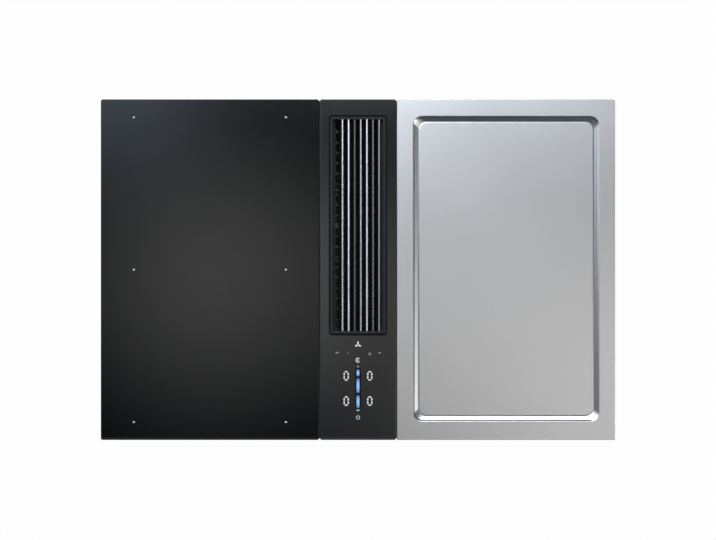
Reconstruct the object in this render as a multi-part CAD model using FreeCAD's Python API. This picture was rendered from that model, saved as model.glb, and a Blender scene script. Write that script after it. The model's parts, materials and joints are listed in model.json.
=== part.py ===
import FreeCAD, Part
import math
import os

# Drop-in cooktop of three modules: induction on the left, downdraft extraction with
# touch controls in the centre and a steel griddle on the right. Millimetres, +Z up.
# The origin is on the worktop's top surface, in the middle of the cooktop; +Y is the
# back and -Y is the side where the cook stands.

V = FreeCAD.Vector
X_AXIS = V(1, 0, 0)
Y_AXIS = V(0, 1, 0)
Z_AXIS = V(0, 0, 1)

# ---------------------------------------------------------------- driving sizes
module_depth = 520.0            # front to back, all three modules
side_module_width = 333.0       # induction glass and griddle plate
centre_module_width = 116.0
module_joint_gap = 1.5

seal_thickness = 1.5
seal_width = 8.0
seal_inset = 2.0
glass_thickness = 5.0
glass_corner_radius = 3.0
front_facet_width = 4.0
front_facet_drop = 2.0
sheet = 1.0                     # pressed sheet steel of the casings
screw_radius = 2.0
screw_head_radius = 4.0
screw_head_height = 2.2
screw_clearance = 0.1           # radial, between a screw and its hole
running_clearance = 0.05        # radial, between a shaft or pin and its bearing
sliding_clearance = 0.4
board_post_inset = 8.0          # from a power board's edges to its standoffs
vent_count = 7
vent_width = 4.2
vent_pitch = 8.0
vent_length = 14.0

# induction module
side_casing_inset = 15.0        # from the module's edge to the casing wall
induction_casing_depth = 50.0
flange_width = 5.0
zone_side = 232.0
shield_margin = 8.0             # from the casing wall to the shield plate and the mica
mica_thickness = 0.8
coil_thickness = 4.0
coil_width = 106.0
coil_length = 222.0
coil_eye_width = 30.0
coil_carrier_thickness = 2.0
coil_carrier_rim = 3.0
ferrite_length = 34.0
ferrite_width = 9.0
ferrite_height = 3.0
ferrites_per_side = 4
ferrite_eye_gap = 1.0           # from the coil's eye to the bars
shield_thickness = 1.5
sensor_radius = 5.0
post_radius = 4.0
post_inset_x = 16.0             # from the casing wall to the posts' middle
post_inset_y = 22.0
board_thickness = 1.6
standoff_height = 7.0
inverter_board_width = 236.0
blower_offset = 70.0            # cooling fan and heat sink, left of the module's middle
blower_front_gap = 36.0         # casing wall to the cooling fan
board_front_gap = 42.0          # cooling fan to the power board
board_back_gap = 30.0           # power board to the rear wall
heat_sink_front_gap = 25.0      # power board's front edge to the heat sink
heat_sink_width = 56.0
heat_sink_length = 200.0
heat_sink_height = 24.0
heat_sink_base = 5.0
heat_sink_fins = 8
heat_sink_fin_thickness = 1.6
transistor_count = 4
transistor_width = 16.0
transistor_height = 20.0
transistor_thickness = 5.0
capacitor_gap = 14.0            # transistors to capacitors
capacitor_length = 32.0
capacitor_width = 18.0
capacitor_height = 22.0
choke_radius = 16.0
choke_wire_radius = 6.0
choke_inset_x = 10.0            # from the board's edges to the choke
choke_inset_y = 12.0
blower_side = 92.0
blower_height = 26.0
blower_wall = 1.6
blower_inlet_radius = 28.0
blower_wheel_radius = 34.0
blower_disc = 1.5
blower_disc_gap = 1.5
blower_blades = 18
blower_blade_height = 10.0
blower_blade_thickness = 1.2
blower_blade_foot = 21.0        # radius where each blade begins
blower_blade_inset = 1.0        # from the disc's rim to the blades
blower_hub_radius = 13.0
blower_motor_height = 8.0
blower_bearing_roof = 1.0       # metal left above the bearing bore
blower_shaft_radius = 2.0
blower_shaft_end_gap = 0.6
floor_vent_radius = 26.0        # round field of slots under the cooling fan
terminal_offset = 50.0          # terminal block, right of the module's middle
terminal_wall_gap = 4.0
terminal_length = 58.0
terminal_width = 22.0
terminal_height = 18.0
terminal_poles = 5
terminal_chamber_depth = 6.0
terminal_chamber_radius = 2.9
cable_bore_radius = 6.0
gland_offset = 115.0            # cable gland, right of the module's middle
gland_drop = 28.0               # below the worktop
gland_inner_reach = 10.0
gland_radius = 10.0
gland_nut_radius = 14.0
gland_nut_thickness = 6.0
gland_length = 26.0

# centre module
slot_width = 88.0
slot_front_margin = 160.2        # from the deck's front edge to the slot: room for the controls
slot_back_margin = 24.8
slot_corner_radius = 5.0
grille_gap = 1.6
grille_frame_strip = 4.5
grille_proud = 1.0              # the grille stands this far above the glass
blade_count = 7
blade_pitch = 9.3
blade_slope = 5.4               # sideways run of a blade from bottom to top
blade_thickness = 2.2
blade_shift = 1.2               # the blades lean right, so their row sits right of centre
cross_bar_count = 2
cross_bar_width = 4.0
cross_bar_height = 3.0
ledge_below_deck = 6.0
ledge_thickness = 1.5
ledge_width = 6.0
housing_wall = 1.5
housing_margin_x = 8.0          # from the slot's edge to the outside of the housing
housing_margin_y = 8.5
housing_depth = 185.0
housing_flange_gap = 2.0        # from the slot's edge to the flange under the glass
filter_height = 34.0
filter_gap = 1.5
filter_wall = 1.2
filter_ledge_width = 5.0
mesh_thickness = 1.5
mesh_top_gap = 4.5              # from the filter's top to the upper mesh
mesh_bottom_gap = 1.5
mesh_rows = 3
mesh_columns = 20
mesh_bridge = 3.0
tray_height = 24.0
tray_wall = 1.5
tray_front_thickness = 4.0
tray_grip_depth = 12.0
tray_rail_width = 4.0
control_box_depth = 40.0
control_box_wall = 2.0
control_post_inset_x = 10.0     # from the box's outside to its posts
control_post_inset_y = 12.0
touch_board_gap = 1.0           # from the box's wall to the board
display_height = 3.0
display_width = 14.0
display_length = 20.0
display_offset_x = 18.0
display_rows = (98.0, 59.5)      # from the deck's front edge to the middle of each row
slider_width = 7.0
slider_back = 112.0             # both ends measured from the deck's front edge
slider_front = 43.0

# extraction
fan_centre_x = 210.0
duct_end_gap = 14.3             # from the fan's inlet to the duct's front wall
duct_top = -64.0
duct_height = 36.0
duct_wall = 1.5
duct_side_reach = 22.0          # duct beyond the fan's inlet, to the right
duct_back_reach = 15.0          # duct beyond the fan's inlet, to the back
duct_hole_clearance = 2.0
window_front_margin = 6.0
window_length = 262.0
scroll_height = 89.0
scroll_wall = 1.5
scroll_step = 16.0              # growth of the scroll's radius per quarter turn
scroll_outlet_reach = 115.0     # from the shaft to the end of the scroll's outlet
lug_radius = 6.0
lug_height = 12.0
lug_offset = 4.0                # from the spiral wall to the middle of a lug
outlet_lug_gap = 25.0           # from the scroll's outlet to the third lug
hanger_radius = 5.0
hanger_thread_depth = 8.0
hanger_bore_gap = 1.0           # bore beyond the screw's end
wheel_radius = 80.0
wheel_tip_gap = 6.0
wheel_height = 68.0
wheel_blades = 28
wheel_blade_depth = 13.0
wheel_blade_thickness = 1.2
wheel_plate = 2.0
blade_edge_inset = 1.0          # from the wheel's rings to the edges of its blades
wheel_inlet_radius = 58.0
motor_radius = 35.0
motor_height = 42.0
motor_cup_gap = 3.0
motor_shaft_radius = 4.0
motor_bearing_depth = 20.0
motor_shaft_end_gap = 0.5       # from the shaft's end to the bottom of its bearing
hub_height = 8.0
hub_radius = 9.0
spigot_width = 222.0
spigot_height = 89.0
spigot_wall = 1.5
spigot_offset = 8.0             # collar beyond the scroll, to the right
collar_length = 90.0
flap_thickness = 1.5
flap_gap = 1.5
flap_top_gap = 0.5
flap_stop_gap = 0.3
flap_barrel_radius = 3.5
flap_pin_radius = 1.8
flap_set_back = 6.0

# griddle module
griddle_frame_thickness = 1.5
griddle_corner_radius = 4.0
griddle_rim_x = 24.0
griddle_rim_back = 25.0
griddle_rim_front = 26.0
groove_width = 12.0
groove_depth = 2.4
groove_corner_radius = 14.0
plateau_corner_radius = 12.0
groove_edge_radius = 1.0
plateau_drop = 0.6
spreader_thickness = 6.0
spreader_margin = 4.0
element_radius = 3.25
element_run_length = 190.0
element_pitch = 36.0
element_runs = 6
element_split = 14.0            # from the middle of the plate to each element's first run
clamp_width = 12.0
clamp_thickness = 2.0
clamp_pitch = 70.0
clamp_foot = 4.0
insulation_thickness = 26.0
insulation_margin = 8.0
griddle_casing_depth = 58.0
relay_board_width = 120.0
relay_board_length = 90.0
relay_count = 4
relay_size = 18.0
relay_height = 8.0
relay_board_back_gap = 40.0     # relay board to the rear wall
griddle_vent_gap = 3.0          # casing floor to its vents

# joining and fastening
bracket_end_gap = 65.0          # from the casing's end to the middle of a bracket
bracket_length = 24.0
bracket_height = 22.0
bracket_sheet = 2.0
bracket_drop = 8.0
joining_thread_depth = 4.0      # screw beyond the bracket
clip_end_gap = 95.0             # from the casing's end to the middle of a clip
clip_width = 20.0
clip_height = 26.0
clip_drop = 8.0
clip_spread = 7.0
clip_thread_depth = 5.0         # screw beyond the clip
joint_flange_width = 12.0
joint_rib_clearance = 0.1
joint_rib_recess = 1.0

# ---------------------------------------------------------------- derived sizes
overall_width = 2 * side_module_width + centre_module_width + 2 * module_joint_gap
half_depth = module_depth / 2
deck_bottom = seal_thickness
deck_top = deck_bottom + glass_thickness
side_centre = (centre_module_width + side_module_width) / 2 + module_joint_gap
joint_x = (centre_module_width + module_joint_gap) / 2
half_centre = centre_module_width / 2
side_casing_half_width = side_module_width / 2 - side_casing_inset
casing_half_depth = half_depth - side_casing_inset
left_casing_outer_x = -side_centre - side_casing_half_width
left_casing_inner_x = -side_centre + side_casing_half_width
right_casing_inner_x = side_centre - side_casing_half_width
right_casing_outer_x = side_centre + side_casing_half_width
bracket_y = casing_half_depth - bracket_end_gap
clip_y = casing_half_depth - clip_end_gap
slot_length = module_depth - slot_front_margin - slot_back_margin
slot_centre_y = (slot_front_margin - slot_back_margin) / 2
housing_half_x = slot_width / 2 + housing_margin_x
housing_front = slot_centre_y - slot_length / 2 - housing_margin_y
housing_back = slot_centre_y + slot_length / 2 + housing_margin_y
housing_bottom = -housing_depth

# ---------------------------------------------------------------- shape helpers


def box(x0, x1, y0, y1, z0, z1):
    """Box between two opposite corners."""
    corner = V(min(x0, x1), min(y0, y1), min(z0, z1))
    return Part.makeBox(abs(x1 - x0), abs(y1 - y0), abs(z1 - z0), corner)


def cylinder(x, y, z0, z1, radius):
    """Upright cylinder."""
    return Part.makeCylinder(radius, z1 - z0, V(x, y, z0), Z_AXIS)


def rod(start, end, radius):
    """Cylinder between two points."""
    direction = end.sub(start)
    return Part.makeCylinder(radius, direction.Length, start, direction)


def tube(x, y, z0, z1, outer, inner):
    """Upright ring."""
    return cylinder(x, y, z0, z1, outer).cut(cylinder(x, y, z0, z1, inner))


def polygon_face(points, z):
    """Flat face through (x, y) points at one height."""
    corners = [V(x, y, z) for x, y in points]
    return Part.Face(Part.makePolygon(corners + corners[:1]))


def prism(points, z0, z1):
    """Upright prism over (x, y) points."""
    return polygon_face(points, z0).extrude(V(0, 0, z1 - z0))


def plate(x0, x1, y0, y1, z0, z1, radius):
    """Plate with four rounded upright corners."""
    solid = box(x0, x1, y0, y1, z0, z1)
    upright = [e for e in solid.Edges if abs(e.tangentAt(e.FirstParameter).z) > 0.9]
    return solid.makeFillet(radius, upright)


def stadium(x, y, length, width, z0, z1):
    """Slot-shaped plate with round ends, long along X."""
    reach = (length - width) / 2
    middle = box(x - reach, x + reach, y - width / 2, y + width / 2, z0, z1)
    left = cylinder(x - reach, y, z0, z1, width / 2)
    right = cylinder(x + reach, y, z0, z1, width / 2)
    return middle.fuse([left, right]).removeSplitter()


def fused(shapes):
    """One solid out of pieces that overlap or meet face to face."""
    return shapes[0].fuse(shapes[1:]).removeSplitter()


def group(shapes):
    """Separate solids that share one node."""
    return Part.makeCompound(shapes)


def mirrored_x(shape):
    """Copy on the other side of the middle plane x = 0."""
    return shape.mirror(V(0, 0, 0), X_AXIS)


def screw(seat, direction, grip):
    """Pan-head screw: its head stands off the seat, its shank runs along the direction."""
    head = rod(seat.sub(direction * screw_head_height), seat, screw_head_radius)
    shank = rod(seat, seat.add(direction * grip), screw_radius)
    return head.fuse(shank)


def screw_hole(seat, direction, grip):
    """Clearance hole for the shank of the screw on this seat."""
    return rod(seat, seat.add(direction * grip), screw_radius + screw_clearance)


def screws_at(seats, direction, grip):
    """Equal screws, one on each seat."""
    return [screw(seat, direction, grip) for seat in seats]


def drilled(shape, seats, direction, grip):
    """Shape with a clearance hole at each screw seat."""
    return shape.cut([screw_hole(seat, direction, grip) for seat in seats])


# ---------------------------------------------------------------- shared pieces


def worktop_seal():
    """Foam seal under the whole outer edge; its underside rests on the worktop."""
    half_x = overall_width / 2 - seal_inset
    half_y = half_depth - seal_inset
    outer = box(-half_x, half_x, -half_y, half_y, 0, seal_thickness)
    inner_x = half_x - seal_width
    inner_y = half_y - seal_width
    return outer.cut(box(-inner_x, inner_x, -inner_y, inner_y, 0, seal_thickness))


def joint_profile():
    """T-shaped rubber strip that closes the joint between two modules."""
    flange_half = joint_flange_width / 2
    flange_end = half_depth - seal_inset - seal_width
    flange = box(joint_x - flange_half, joint_x + flange_half, -flange_end, flange_end, 0, deck_bottom)
    rib_half = module_joint_gap / 2 - joint_rib_clearance
    rib_end = half_depth - front_facet_width
    rib_top = deck_top - joint_rib_recess
    rib = box(joint_x - rib_half, joint_x + rib_half, -rib_end, rib_end, deck_bottom, rib_top)
    return fused([flange, rib])


def joint_profiles():
    """The two joint strips."""
    right = joint_profile()
    return group([right, mirrored_x(right)])


def joining_bracket(y):
    """U-shaped bracket between the centre housing and the casing on its right."""
    top = deck_bottom - bracket_drop
    bottom = top - bracket_height
    front = y - bracket_length / 2
    back = y + bracket_length / 2
    block = box(housing_half_x, right_casing_inner_x, front, back, bottom, top)
    inner_left = housing_half_x + bracket_sheet
    inner_right = right_casing_inner_x - bracket_sheet
    hollow = box(inner_left, inner_right, front, back, bottom + bracket_sheet, top)
    bracket = block.cut(hollow)
    seat_z = top - bracket_height / 2
    right_seat = V(inner_right, y, seat_z)
    left_seat = V(inner_left, y, seat_z)
    bracket = drilled(bracket, [right_seat], X_AXIS, bracket_sheet)
    return drilled(bracket, [left_seat], -X_AXIS, bracket_sheet)


def joining_brackets():
    """Two brackets on each side of the centre module."""
    right = [joining_bracket(y) for y in (-bracket_y, bracket_y)]
    return group(right + [mirrored_x(b) for b in right])


joining_screw_z = deck_bottom - bracket_drop - bracket_height / 2


def outward_joining_seats():
    """Screws from the brackets on the right into the griddle casing."""
    x = right_casing_inner_x - bracket_sheet
    return [V(x, y, joining_screw_z) for y in (-bracket_y, bracket_y)]


def inward_joining_seats():
    """Screws from the brackets on the right into the centre housing and control box."""
    x = housing_half_x + bracket_sheet
    return [V(x, y, joining_screw_z) for y in (-bracket_y, bracket_y)]


joining_grip = bracket_sheet + joining_thread_depth


def joining_screws():
    """Screws through both flanges of every bracket."""
    right = screws_at(outward_joining_seats(), X_AXIS, joining_grip)
    right += screws_at(inward_joining_seats(), -X_AXIS, joining_grip)
    return right + [mirrored_x(s) for s in right]


def joining_holes():
    """Clearance holes of all the joining screws."""
    right = [screw_hole(seat, X_AXIS, joining_grip) for seat in outward_joining_seats()]
    right += [screw_hole(seat, -X_AXIS, joining_grip) for seat in inward_joining_seats()]
    return right + [mirrored_x(s) for s in right]


clip_screw_z = deck_bottom - clip_drop - clip_height / 2
clip_grip = sheet + clip_thread_depth


def worktop_clip(y):
    """Spring clip on the outside of the griddle casing that grips the cut-out's edge."""
    top = deck_bottom - clip_drop
    bottom = top - clip_height
    x = right_casing_outer_x
    profile = [
        (x, top), (x, bottom), (x + clip_spread, bottom + clip_spread),
        (x + clip_spread, bottom + clip_spread + sheet * 2), (x + sheet, bottom + sheet * 2.5),
        (x + sheet, top),
    ]
    corners = [V(px, y - clip_width / 2, pz) for px, pz in profile]
    face = Part.Face(Part.makePolygon(corners + corners[:1]))
    clip = face.extrude(V(0, clip_width, 0))
    return drilled(clip, [V(x + sheet, y, clip_screw_z)], -X_AXIS, sheet)


def worktop_clips():
    """Two clips on each outer side."""
    right = [worktop_clip(y) for y in (-clip_y, clip_y)]
    return group(right + [mirrored_x(c) for c in right])


def clip_seats():
    """Seats of the clip screws on the right side."""
    return [V(right_casing_outer_x + sheet, y, clip_screw_z) for y in (-clip_y, clip_y)]


def clip_screws():
    """One screw through each clip into the casing."""
    right = screws_at(clip_seats(), -X_AXIS, clip_grip)
    return right + [mirrored_x(s) for s in right]


def clip_holes():
    """Clearance holes of all the clip screws."""
    right = [screw_hole(seat, -X_AXIS, clip_grip) for seat in clip_seats()]
    return right + [mirrored_x(s) for s in right]


# ---------------------------------------------------------------- decks


def deck_blank(centre_x, width, top, bottom, radius):
    """Flat deck of one module before its cut-outs."""
    return plate(centre_x - width / 2, centre_x + width / 2, -half_depth, half_depth, bottom, top, radius)


def with_front_facet(deck, centre_x, width):
    """Deck with the ground facet along its front edge."""
    front = -half_depth
    corners = [
        V(centre_x - width / 2, front, deck_top - front_facet_drop),
        V(centre_x - width / 2, front, deck_top),
        V(centre_x - width / 2, front + front_facet_width, deck_top),
    ]
    wedge = Part.Face(Part.makePolygon(corners + corners[:1])).extrude(V(width, 0, 0))
    return deck.cut(wedge)


def induction_glass():
    """Glass ceramic over the two induction zones."""
    blank = deck_blank(-side_centre, side_module_width, deck_top, deck_bottom, glass_corner_radius)
    return with_front_facet(blank, -side_centre, side_module_width)


def slot_block(margin, z0, z1):
    """Rounded block over the downdraft slot, grown or shrunk by a margin."""
    half_x = slot_width / 2 + margin
    half_y = slot_length / 2 + margin
    radius = max(slot_corner_radius + margin, 1.0)
    return plate(-half_x, half_x, slot_centre_y - half_y, slot_centre_y + half_y, z0, z1, radius)


def downdraft_glass():
    """Glass of the centre module, with the slot for the grille."""
    blank = deck_blank(0, centre_module_width, deck_top, deck_bottom, glass_corner_radius)
    deck = with_front_facet(blank, 0, centre_module_width)
    return deck.cut(slot_block(0, deck_bottom, deck_top))


def casing_shell(centre_x, depth, top):
    """Open-topped pressed casing with an outward flange under the deck."""
    half_x = side_casing_half_width
    half_y = casing_half_depth
    outer = box(centre_x - half_x, centre_x + half_x, -half_y, half_y, -depth, top)
    inner = box(
        centre_x - half_x + sheet, centre_x + half_x - sheet,
        -half_y + sheet, half_y - sheet, -depth + sheet, top,
    )
    flange = box(
        centre_x - half_x - flange_width, centre_x + half_x + flange_width,
        -half_y - flange_width, half_y + flange_width, top - sheet, top,
    )
    return outer.fuse(flange).removeSplitter().cut(inner)


# ---------------------------------------------------------------- induction module

mica_bottom = deck_bottom - mica_thickness
coil_bottom = mica_bottom - coil_thickness
carrier_bottom = coil_bottom - coil_carrier_thickness
ferrite_bottom = carrier_bottom - ferrite_height
shield_bottom = ferrite_bottom - shield_thickness
induction_floor = -induction_casing_depth + sheet
board_bottom = induction_floor + standoff_height
board_top = board_bottom + board_thickness
coil_pitch = zone_side / 2
shield_half_width = side_casing_half_width - shield_margin
shield_half_depth = casing_half_depth - shield_margin
post_x = side_casing_half_width - post_inset_x
post_y = casing_half_depth - post_inset_y
blower_x = -side_centre - blower_offset
blower_y = -casing_half_depth + blower_front_gap + blower_side / 2
blower_top = induction_floor + blower_height - blower_wall
heat_sink_x = blower_x
inverter_board_front = blower_y + blower_side / 2 + board_front_gap
inverter_board_back = casing_half_depth - board_back_gap
inverter_board_y = (inverter_board_front + inverter_board_back) / 2
heat_sink_y = inverter_board_front + heat_sink_front_gap + heat_sink_length / 2
terminal_x = -side_centre + terminal_offset
gland_x = -side_centre + gland_offset
gland_z = -gland_drop


def coil_centres(sign):
    """Centres of the two oval coils of one zone, front (-1) or rear (+1)."""
    return [(-side_centre, sign * coil_pitch * k) for k in (0.5, 1.5)]


def all_coil_centres():
    """Centres of the four coils."""
    return coil_centres(-1) + coil_centres(1)


def oval_ring(x, y, length, width, eye, z0, z1):
    """Slot-shaped ring with an even width all round."""
    outer = stadium(x, y, length, width, z0, z1)
    return outer.cut(stadium(x, y, length - width + eye, eye, z0, z1))


def zone_coils(sign):
    """Flat-wound oval coils of one zone."""
    rings = []
    for x, y in coil_centres(sign):
        rings.append(oval_ring(x, y, coil_length, coil_width, coil_eye_width, coil_bottom, mica_bottom))
    return group(rings)


def coil_carriers():
    """Plastic trays that hold the coils."""
    length = coil_length + 2 * coil_carrier_rim
    width = coil_width + 2 * coil_carrier_rim
    return group([stadium(x, y, length, width, carrier_bottom, coil_bottom) for x, y in all_coil_centres()])


def ferrite_bars():
    """Ferrite bars across the winding, under each carrier."""
    bars = []
    spread = (coil_length - coil_width) / ferrites_per_side
    reach = coil_eye_width / 2 + ferrite_eye_gap
    for x, y in all_coil_centres():
        for i in range(ferrites_per_side):
            bar_x = x + (i - (ferrites_per_side - 1) / 2) * spread
            x0 = bar_x - ferrite_width / 2
            x1 = bar_x + ferrite_width / 2
            bars.append(box(x0, x1, y + reach, y + reach + ferrite_length, ferrite_bottom, carrier_bottom))
            bars.append(box(x0, x1, y - reach - ferrite_length, y - reach, ferrite_bottom, carrier_bottom))
    return group(bars)


def mica_sheet():
    """Mica insulation between the glass and the coils."""
    x0 = -side_centre - shield_half_width
    x1 = -side_centre + shield_half_width
    return box(x0, x1, -shield_half_depth, shield_half_depth, mica_bottom, deck_bottom)


def coil_shield_plate():
    """Aluminium plate that carries the coils and shields the electronics."""
    x0 = -side_centre - shield_half_width
    x1 = -side_centre + shield_half_width
    return box(x0, x1, -shield_half_depth, shield_half_depth, shield_bottom, ferrite_bottom)


def plate_posts():
    """Posts that hold the shield plate above the casing floor."""
    posts = []
    for dx in (-post_x, post_x):
        for y in (-post_y, 0, post_y):
            posts.append(cylinder(-side_centre + dx, y, induction_floor, shield_bottom, post_radius))
    return group(posts)


def zone_sensors():
    """Temperature sensor in the eye of each coil, pressed against the mica."""
    return group([cylinder(x, y, coil_bottom, mica_bottom, sensor_radius) for x, y in all_coil_centres()])


def inverter_board():
    """Power board of the induction module."""
    x0 = -side_centre - inverter_board_width / 2
    x1 = -side_centre + inverter_board_width / 2
    return box(x0, x1, inverter_board_front, inverter_board_back, board_bottom, board_top)


def board_standoffs():
    """Plastic standoffs at the corners of the power board."""
    half_length = (inverter_board_back - inverter_board_front) / 2
    posts = []
    for sx in (-1, 1):
        for sy in (-1, 1):
            x = -side_centre + sx * (inverter_board_width / 2 - board_post_inset)
            y = inverter_board_y + sy * (half_length - board_post_inset)
            posts.append(cylinder(x, y, induction_floor, board_bottom, post_radius))
    return posts


def inverter_heat_sink():
    """Finned aluminium heat sink in the cooling fan's air stream."""
    x0 = heat_sink_x - heat_sink_width / 2
    y0 = heat_sink_y - heat_sink_length / 2
    y1 = heat_sink_y + heat_sink_length / 2
    parts = [box(x0, x0 + heat_sink_width, y0, y1, board_top, board_top + heat_sink_base)]
    pitch = (heat_sink_width - heat_sink_fin_thickness) / (heat_sink_fins - 1)
    for i in range(heat_sink_fins):
        x = x0 + i * pitch
        parts.append(box(x, x + heat_sink_fin_thickness, y0, y1, board_top, board_top + heat_sink_height))
    return fused(parts)


def power_transistors():
    """Flat transistor packages against the side of the heat sink."""
    x0 = heat_sink_x + heat_sink_width / 2
    pitch = heat_sink_length / transistor_count
    packages = []
    for i in range(transistor_count):
        y = heat_sink_y + (i - (transistor_count - 1) / 2) * pitch
        y0 = y - transistor_width / 2
        y1 = y + transistor_width / 2
        packages.append(box(x0, x0 + transistor_thickness, y0, y1, board_top, board_top + transistor_height))
    return group(packages)


def inverter_capacitors():
    """Box-shaped film capacitors, one beside each transistor."""
    x0 = heat_sink_x + heat_sink_width / 2 + transistor_thickness + capacitor_gap
    pitch = heat_sink_length / transistor_count
    blocks = []
    for i in range(transistor_count):
        y = heat_sink_y + (i - (transistor_count - 1) / 2) * pitch
        y0 = y - capacitor_width / 2
        y1 = y + capacitor_width / 2
        blocks.append(box(x0, x0 + capacitor_length, y0, y1, board_top, board_top + capacitor_height))
    return group(blocks)


def filter_choke():
    """Ring choke of the mains filter, lying on the board."""
    reach = choke_radius + choke_wire_radius
    x = -side_centre + inverter_board_width / 2 - reach - choke_inset_x
    y = inverter_board_back - reach - choke_inset_y
    return Part.makeTorus(choke_radius, choke_wire_radius, V(x, y, board_top + choke_wire_radius), Z_AXIS)


def terminal_block():
    """Mains terminal block with an open screw chamber at each pole."""
    x0 = terminal_x - terminal_length / 2
    y1 = casing_half_depth - sheet - terminal_wall_gap
    y0 = y1 - terminal_width
    top = induction_floor + terminal_height
    block = box(x0, x0 + terminal_length, y0, y1, induction_floor, top)
    pitch = terminal_length / terminal_poles
    chambers = []
    for i in range(terminal_poles):
        x = x0 + (i + 0.5) * pitch
        chambers.append(cylinder(x, (y0 + y1) / 2, top - terminal_chamber_depth, top, terminal_chamber_radius))
    return block.cut(chambers)


def mains_gland():
    """Cable gland in the rear wall; its bore takes the supply cable."""
    wall_inner = casing_half_depth - sheet
    wall_outer = casing_half_depth
    start = V(gland_x, wall_inner - gland_inner_reach, gland_z)
    body = rod(start, start.add(Y_AXIS * gland_length), gland_radius)
    nut_start = V(gland_x, wall_inner - gland_nut_thickness, gland_z)
    nut = rod(nut_start, V(gland_x, wall_inner, gland_z), gland_nut_radius)
    collar_end_y = wall_outer + gland_nut_thickness
    collar = rod(V(gland_x, wall_outer, gland_z), V(gland_x, collar_end_y, gland_z), gland_nut_radius)
    bore = rod(start, start.add(Y_AXIS * gland_length), cable_bore_radius)
    return fused([body, nut, collar]).cut(bore)


def blower_housing():
    """Square housing of the cooling fan: inlet below, outlet towards the heat sink."""
    half = blower_side / 2
    z0 = induction_floor
    z1 = z0 + blower_height
    outer = box(blower_x - half, blower_x + half, blower_y - half, blower_y + half, z0, z1)
    inner_half = half - blower_wall
    inner = box(
        blower_x - inner_half, blower_x + inner_half,
        blower_y - inner_half, blower_y + inner_half, z0 + blower_wall, z1 - blower_wall,
    )
    inlet = cylinder(blower_x, blower_y, z0, z0 + blower_wall, blower_inlet_radius)
    outlet = box(
        blower_x - heat_sink_width / 2, blower_x + heat_sink_width / 2,
        blower_y + inner_half, blower_y + half, z0 + blower_wall * 2, z1 - blower_wall * 2,
    )
    return outer.cut([inner, inlet, outlet])


def cooling_fan_motor():
    """Motor under the housing's top wall, with the bearing bore for the wheel's shaft."""
    motor = cylinder(blower_x, blower_y, blower_top - blower_motor_height, blower_top, blower_hub_radius)
    bore_radius = blower_shaft_radius + running_clearance
    bore_top = blower_top - blower_bearing_roof
    bore = cylinder(blower_x, blower_y, blower_top - blower_motor_height, bore_top, bore_radius)
    return motor.cut(bore)


def cooling_fan_impeller():
    """Small radial wheel with its shaft."""
    disc_top = blower_top - blower_motor_height - blower_disc_gap
    disc_bottom = disc_top - blower_disc
    shaft_top = blower_top - blower_bearing_roof - blower_shaft_end_gap
    parts = [cylinder(blower_x, blower_y, disc_bottom, disc_top, blower_wheel_radius)]
    parts.append(cylinder(blower_x, blower_y, disc_bottom, shaft_top, blower_shaft_radius))
    half = blower_blade_thickness / 2
    blade = box(
        blower_x + blower_blade_foot, blower_x + blower_wheel_radius - blower_blade_inset,
        blower_y - half, blower_y + half, disc_bottom - blower_blade_height, disc_bottom,
    )
    for i in range(blower_blades):
        turned = blade.copy()
        turned.rotate(V(blower_x, blower_y, 0), Z_AXIS, 360.0 * i / blower_blades)
        parts.append(turned)
    return fused(parts)


def induction_casing():
    """Casing of the induction module, with inlet and exhaust vents."""
    shell = casing_shell(-side_centre, induction_casing_depth, deck_bottom)
    cuts = []
    for i in range(vent_count):
        x = blower_x + (i - (vent_count - 1) / 2) * vent_pitch
        half_chord = math.sqrt(floor_vent_radius ** 2 - min(abs(x - blower_x), floor_vent_radius * 0.95) ** 2)
        x0 = x - vent_width / 2
        cuts.append(box(x0, x0 + vent_width, blower_y - half_chord, blower_y + half_chord,
                        -induction_casing_depth, induction_floor))
        vent_x = heat_sink_x + (i - (vent_count - 1) / 2) * vent_pitch
        vent_z = board_top + heat_sink_base
        cuts.append(box(vent_x - vent_width / 2, vent_x + vent_width / 2,
                        casing_half_depth - sheet, casing_half_depth, vent_z, vent_z + vent_length))
    wall = casing_half_depth - sheet
    cuts.append(rod(V(gland_x, wall, gland_z), V(gland_x, wall + sheet, gland_z), gland_radius + screw_clearance))
    return shell.cut(cuts + joining_holes() + clip_holes())


# ---------------------------------------------------------------- centre module

grille_seat = deck_bottom - ledge_below_deck
grille_top = deck_top + grille_proud
filter_top = grille_seat - filter_gap
filter_bottom = filter_top - filter_height
filter_half_x = slot_width / 2 - ledge_width - sliding_clearance
filter_margin = -ledge_width - sliding_clearance
tray_floor = housing_bottom + housing_wall
tray_top = tray_floor + tray_height
housing_inner_x = housing_half_x - housing_wall
duct_bottom = duct_top - duct_height
window_front = housing_front + window_front_margin
window_back = window_front + window_length
control_floor = -control_box_depth + control_box_wall
control_front = -casing_half_depth
display_bottom = deck_bottom - display_height
touch_board_bottom = display_bottom - board_thickness


def slot_ring(outer_margin, inner_margin, z0, z1):
    """Ring that follows the slot's outline between two margins."""
    return slot_block(outer_margin, z0, z1).cut(slot_block(inner_margin, z0, z1))


def grille_frame():
    """Rim of the lift-off grille, with the cross bars that carry the blades."""
    inner_margin = -grille_gap - grille_frame_strip
    frame = slot_ring(-grille_gap, inner_margin, grille_seat, grille_top)
    inner_x = slot_width / 2 + inner_margin
    inner_length = slot_length + 2 * inner_margin
    bars = []
    for i in range(cross_bar_count):
        y = slot_centre_y + inner_length * ((i + 1) / (cross_bar_count + 1) - 0.5)
        y0 = y - cross_bar_width / 2
        y1 = y + cross_bar_width / 2
        bars.append(box(-inner_x, inner_x, y0, y1, grille_seat, grille_seat + cross_bar_height))
    return fused([frame] + bars)


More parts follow.
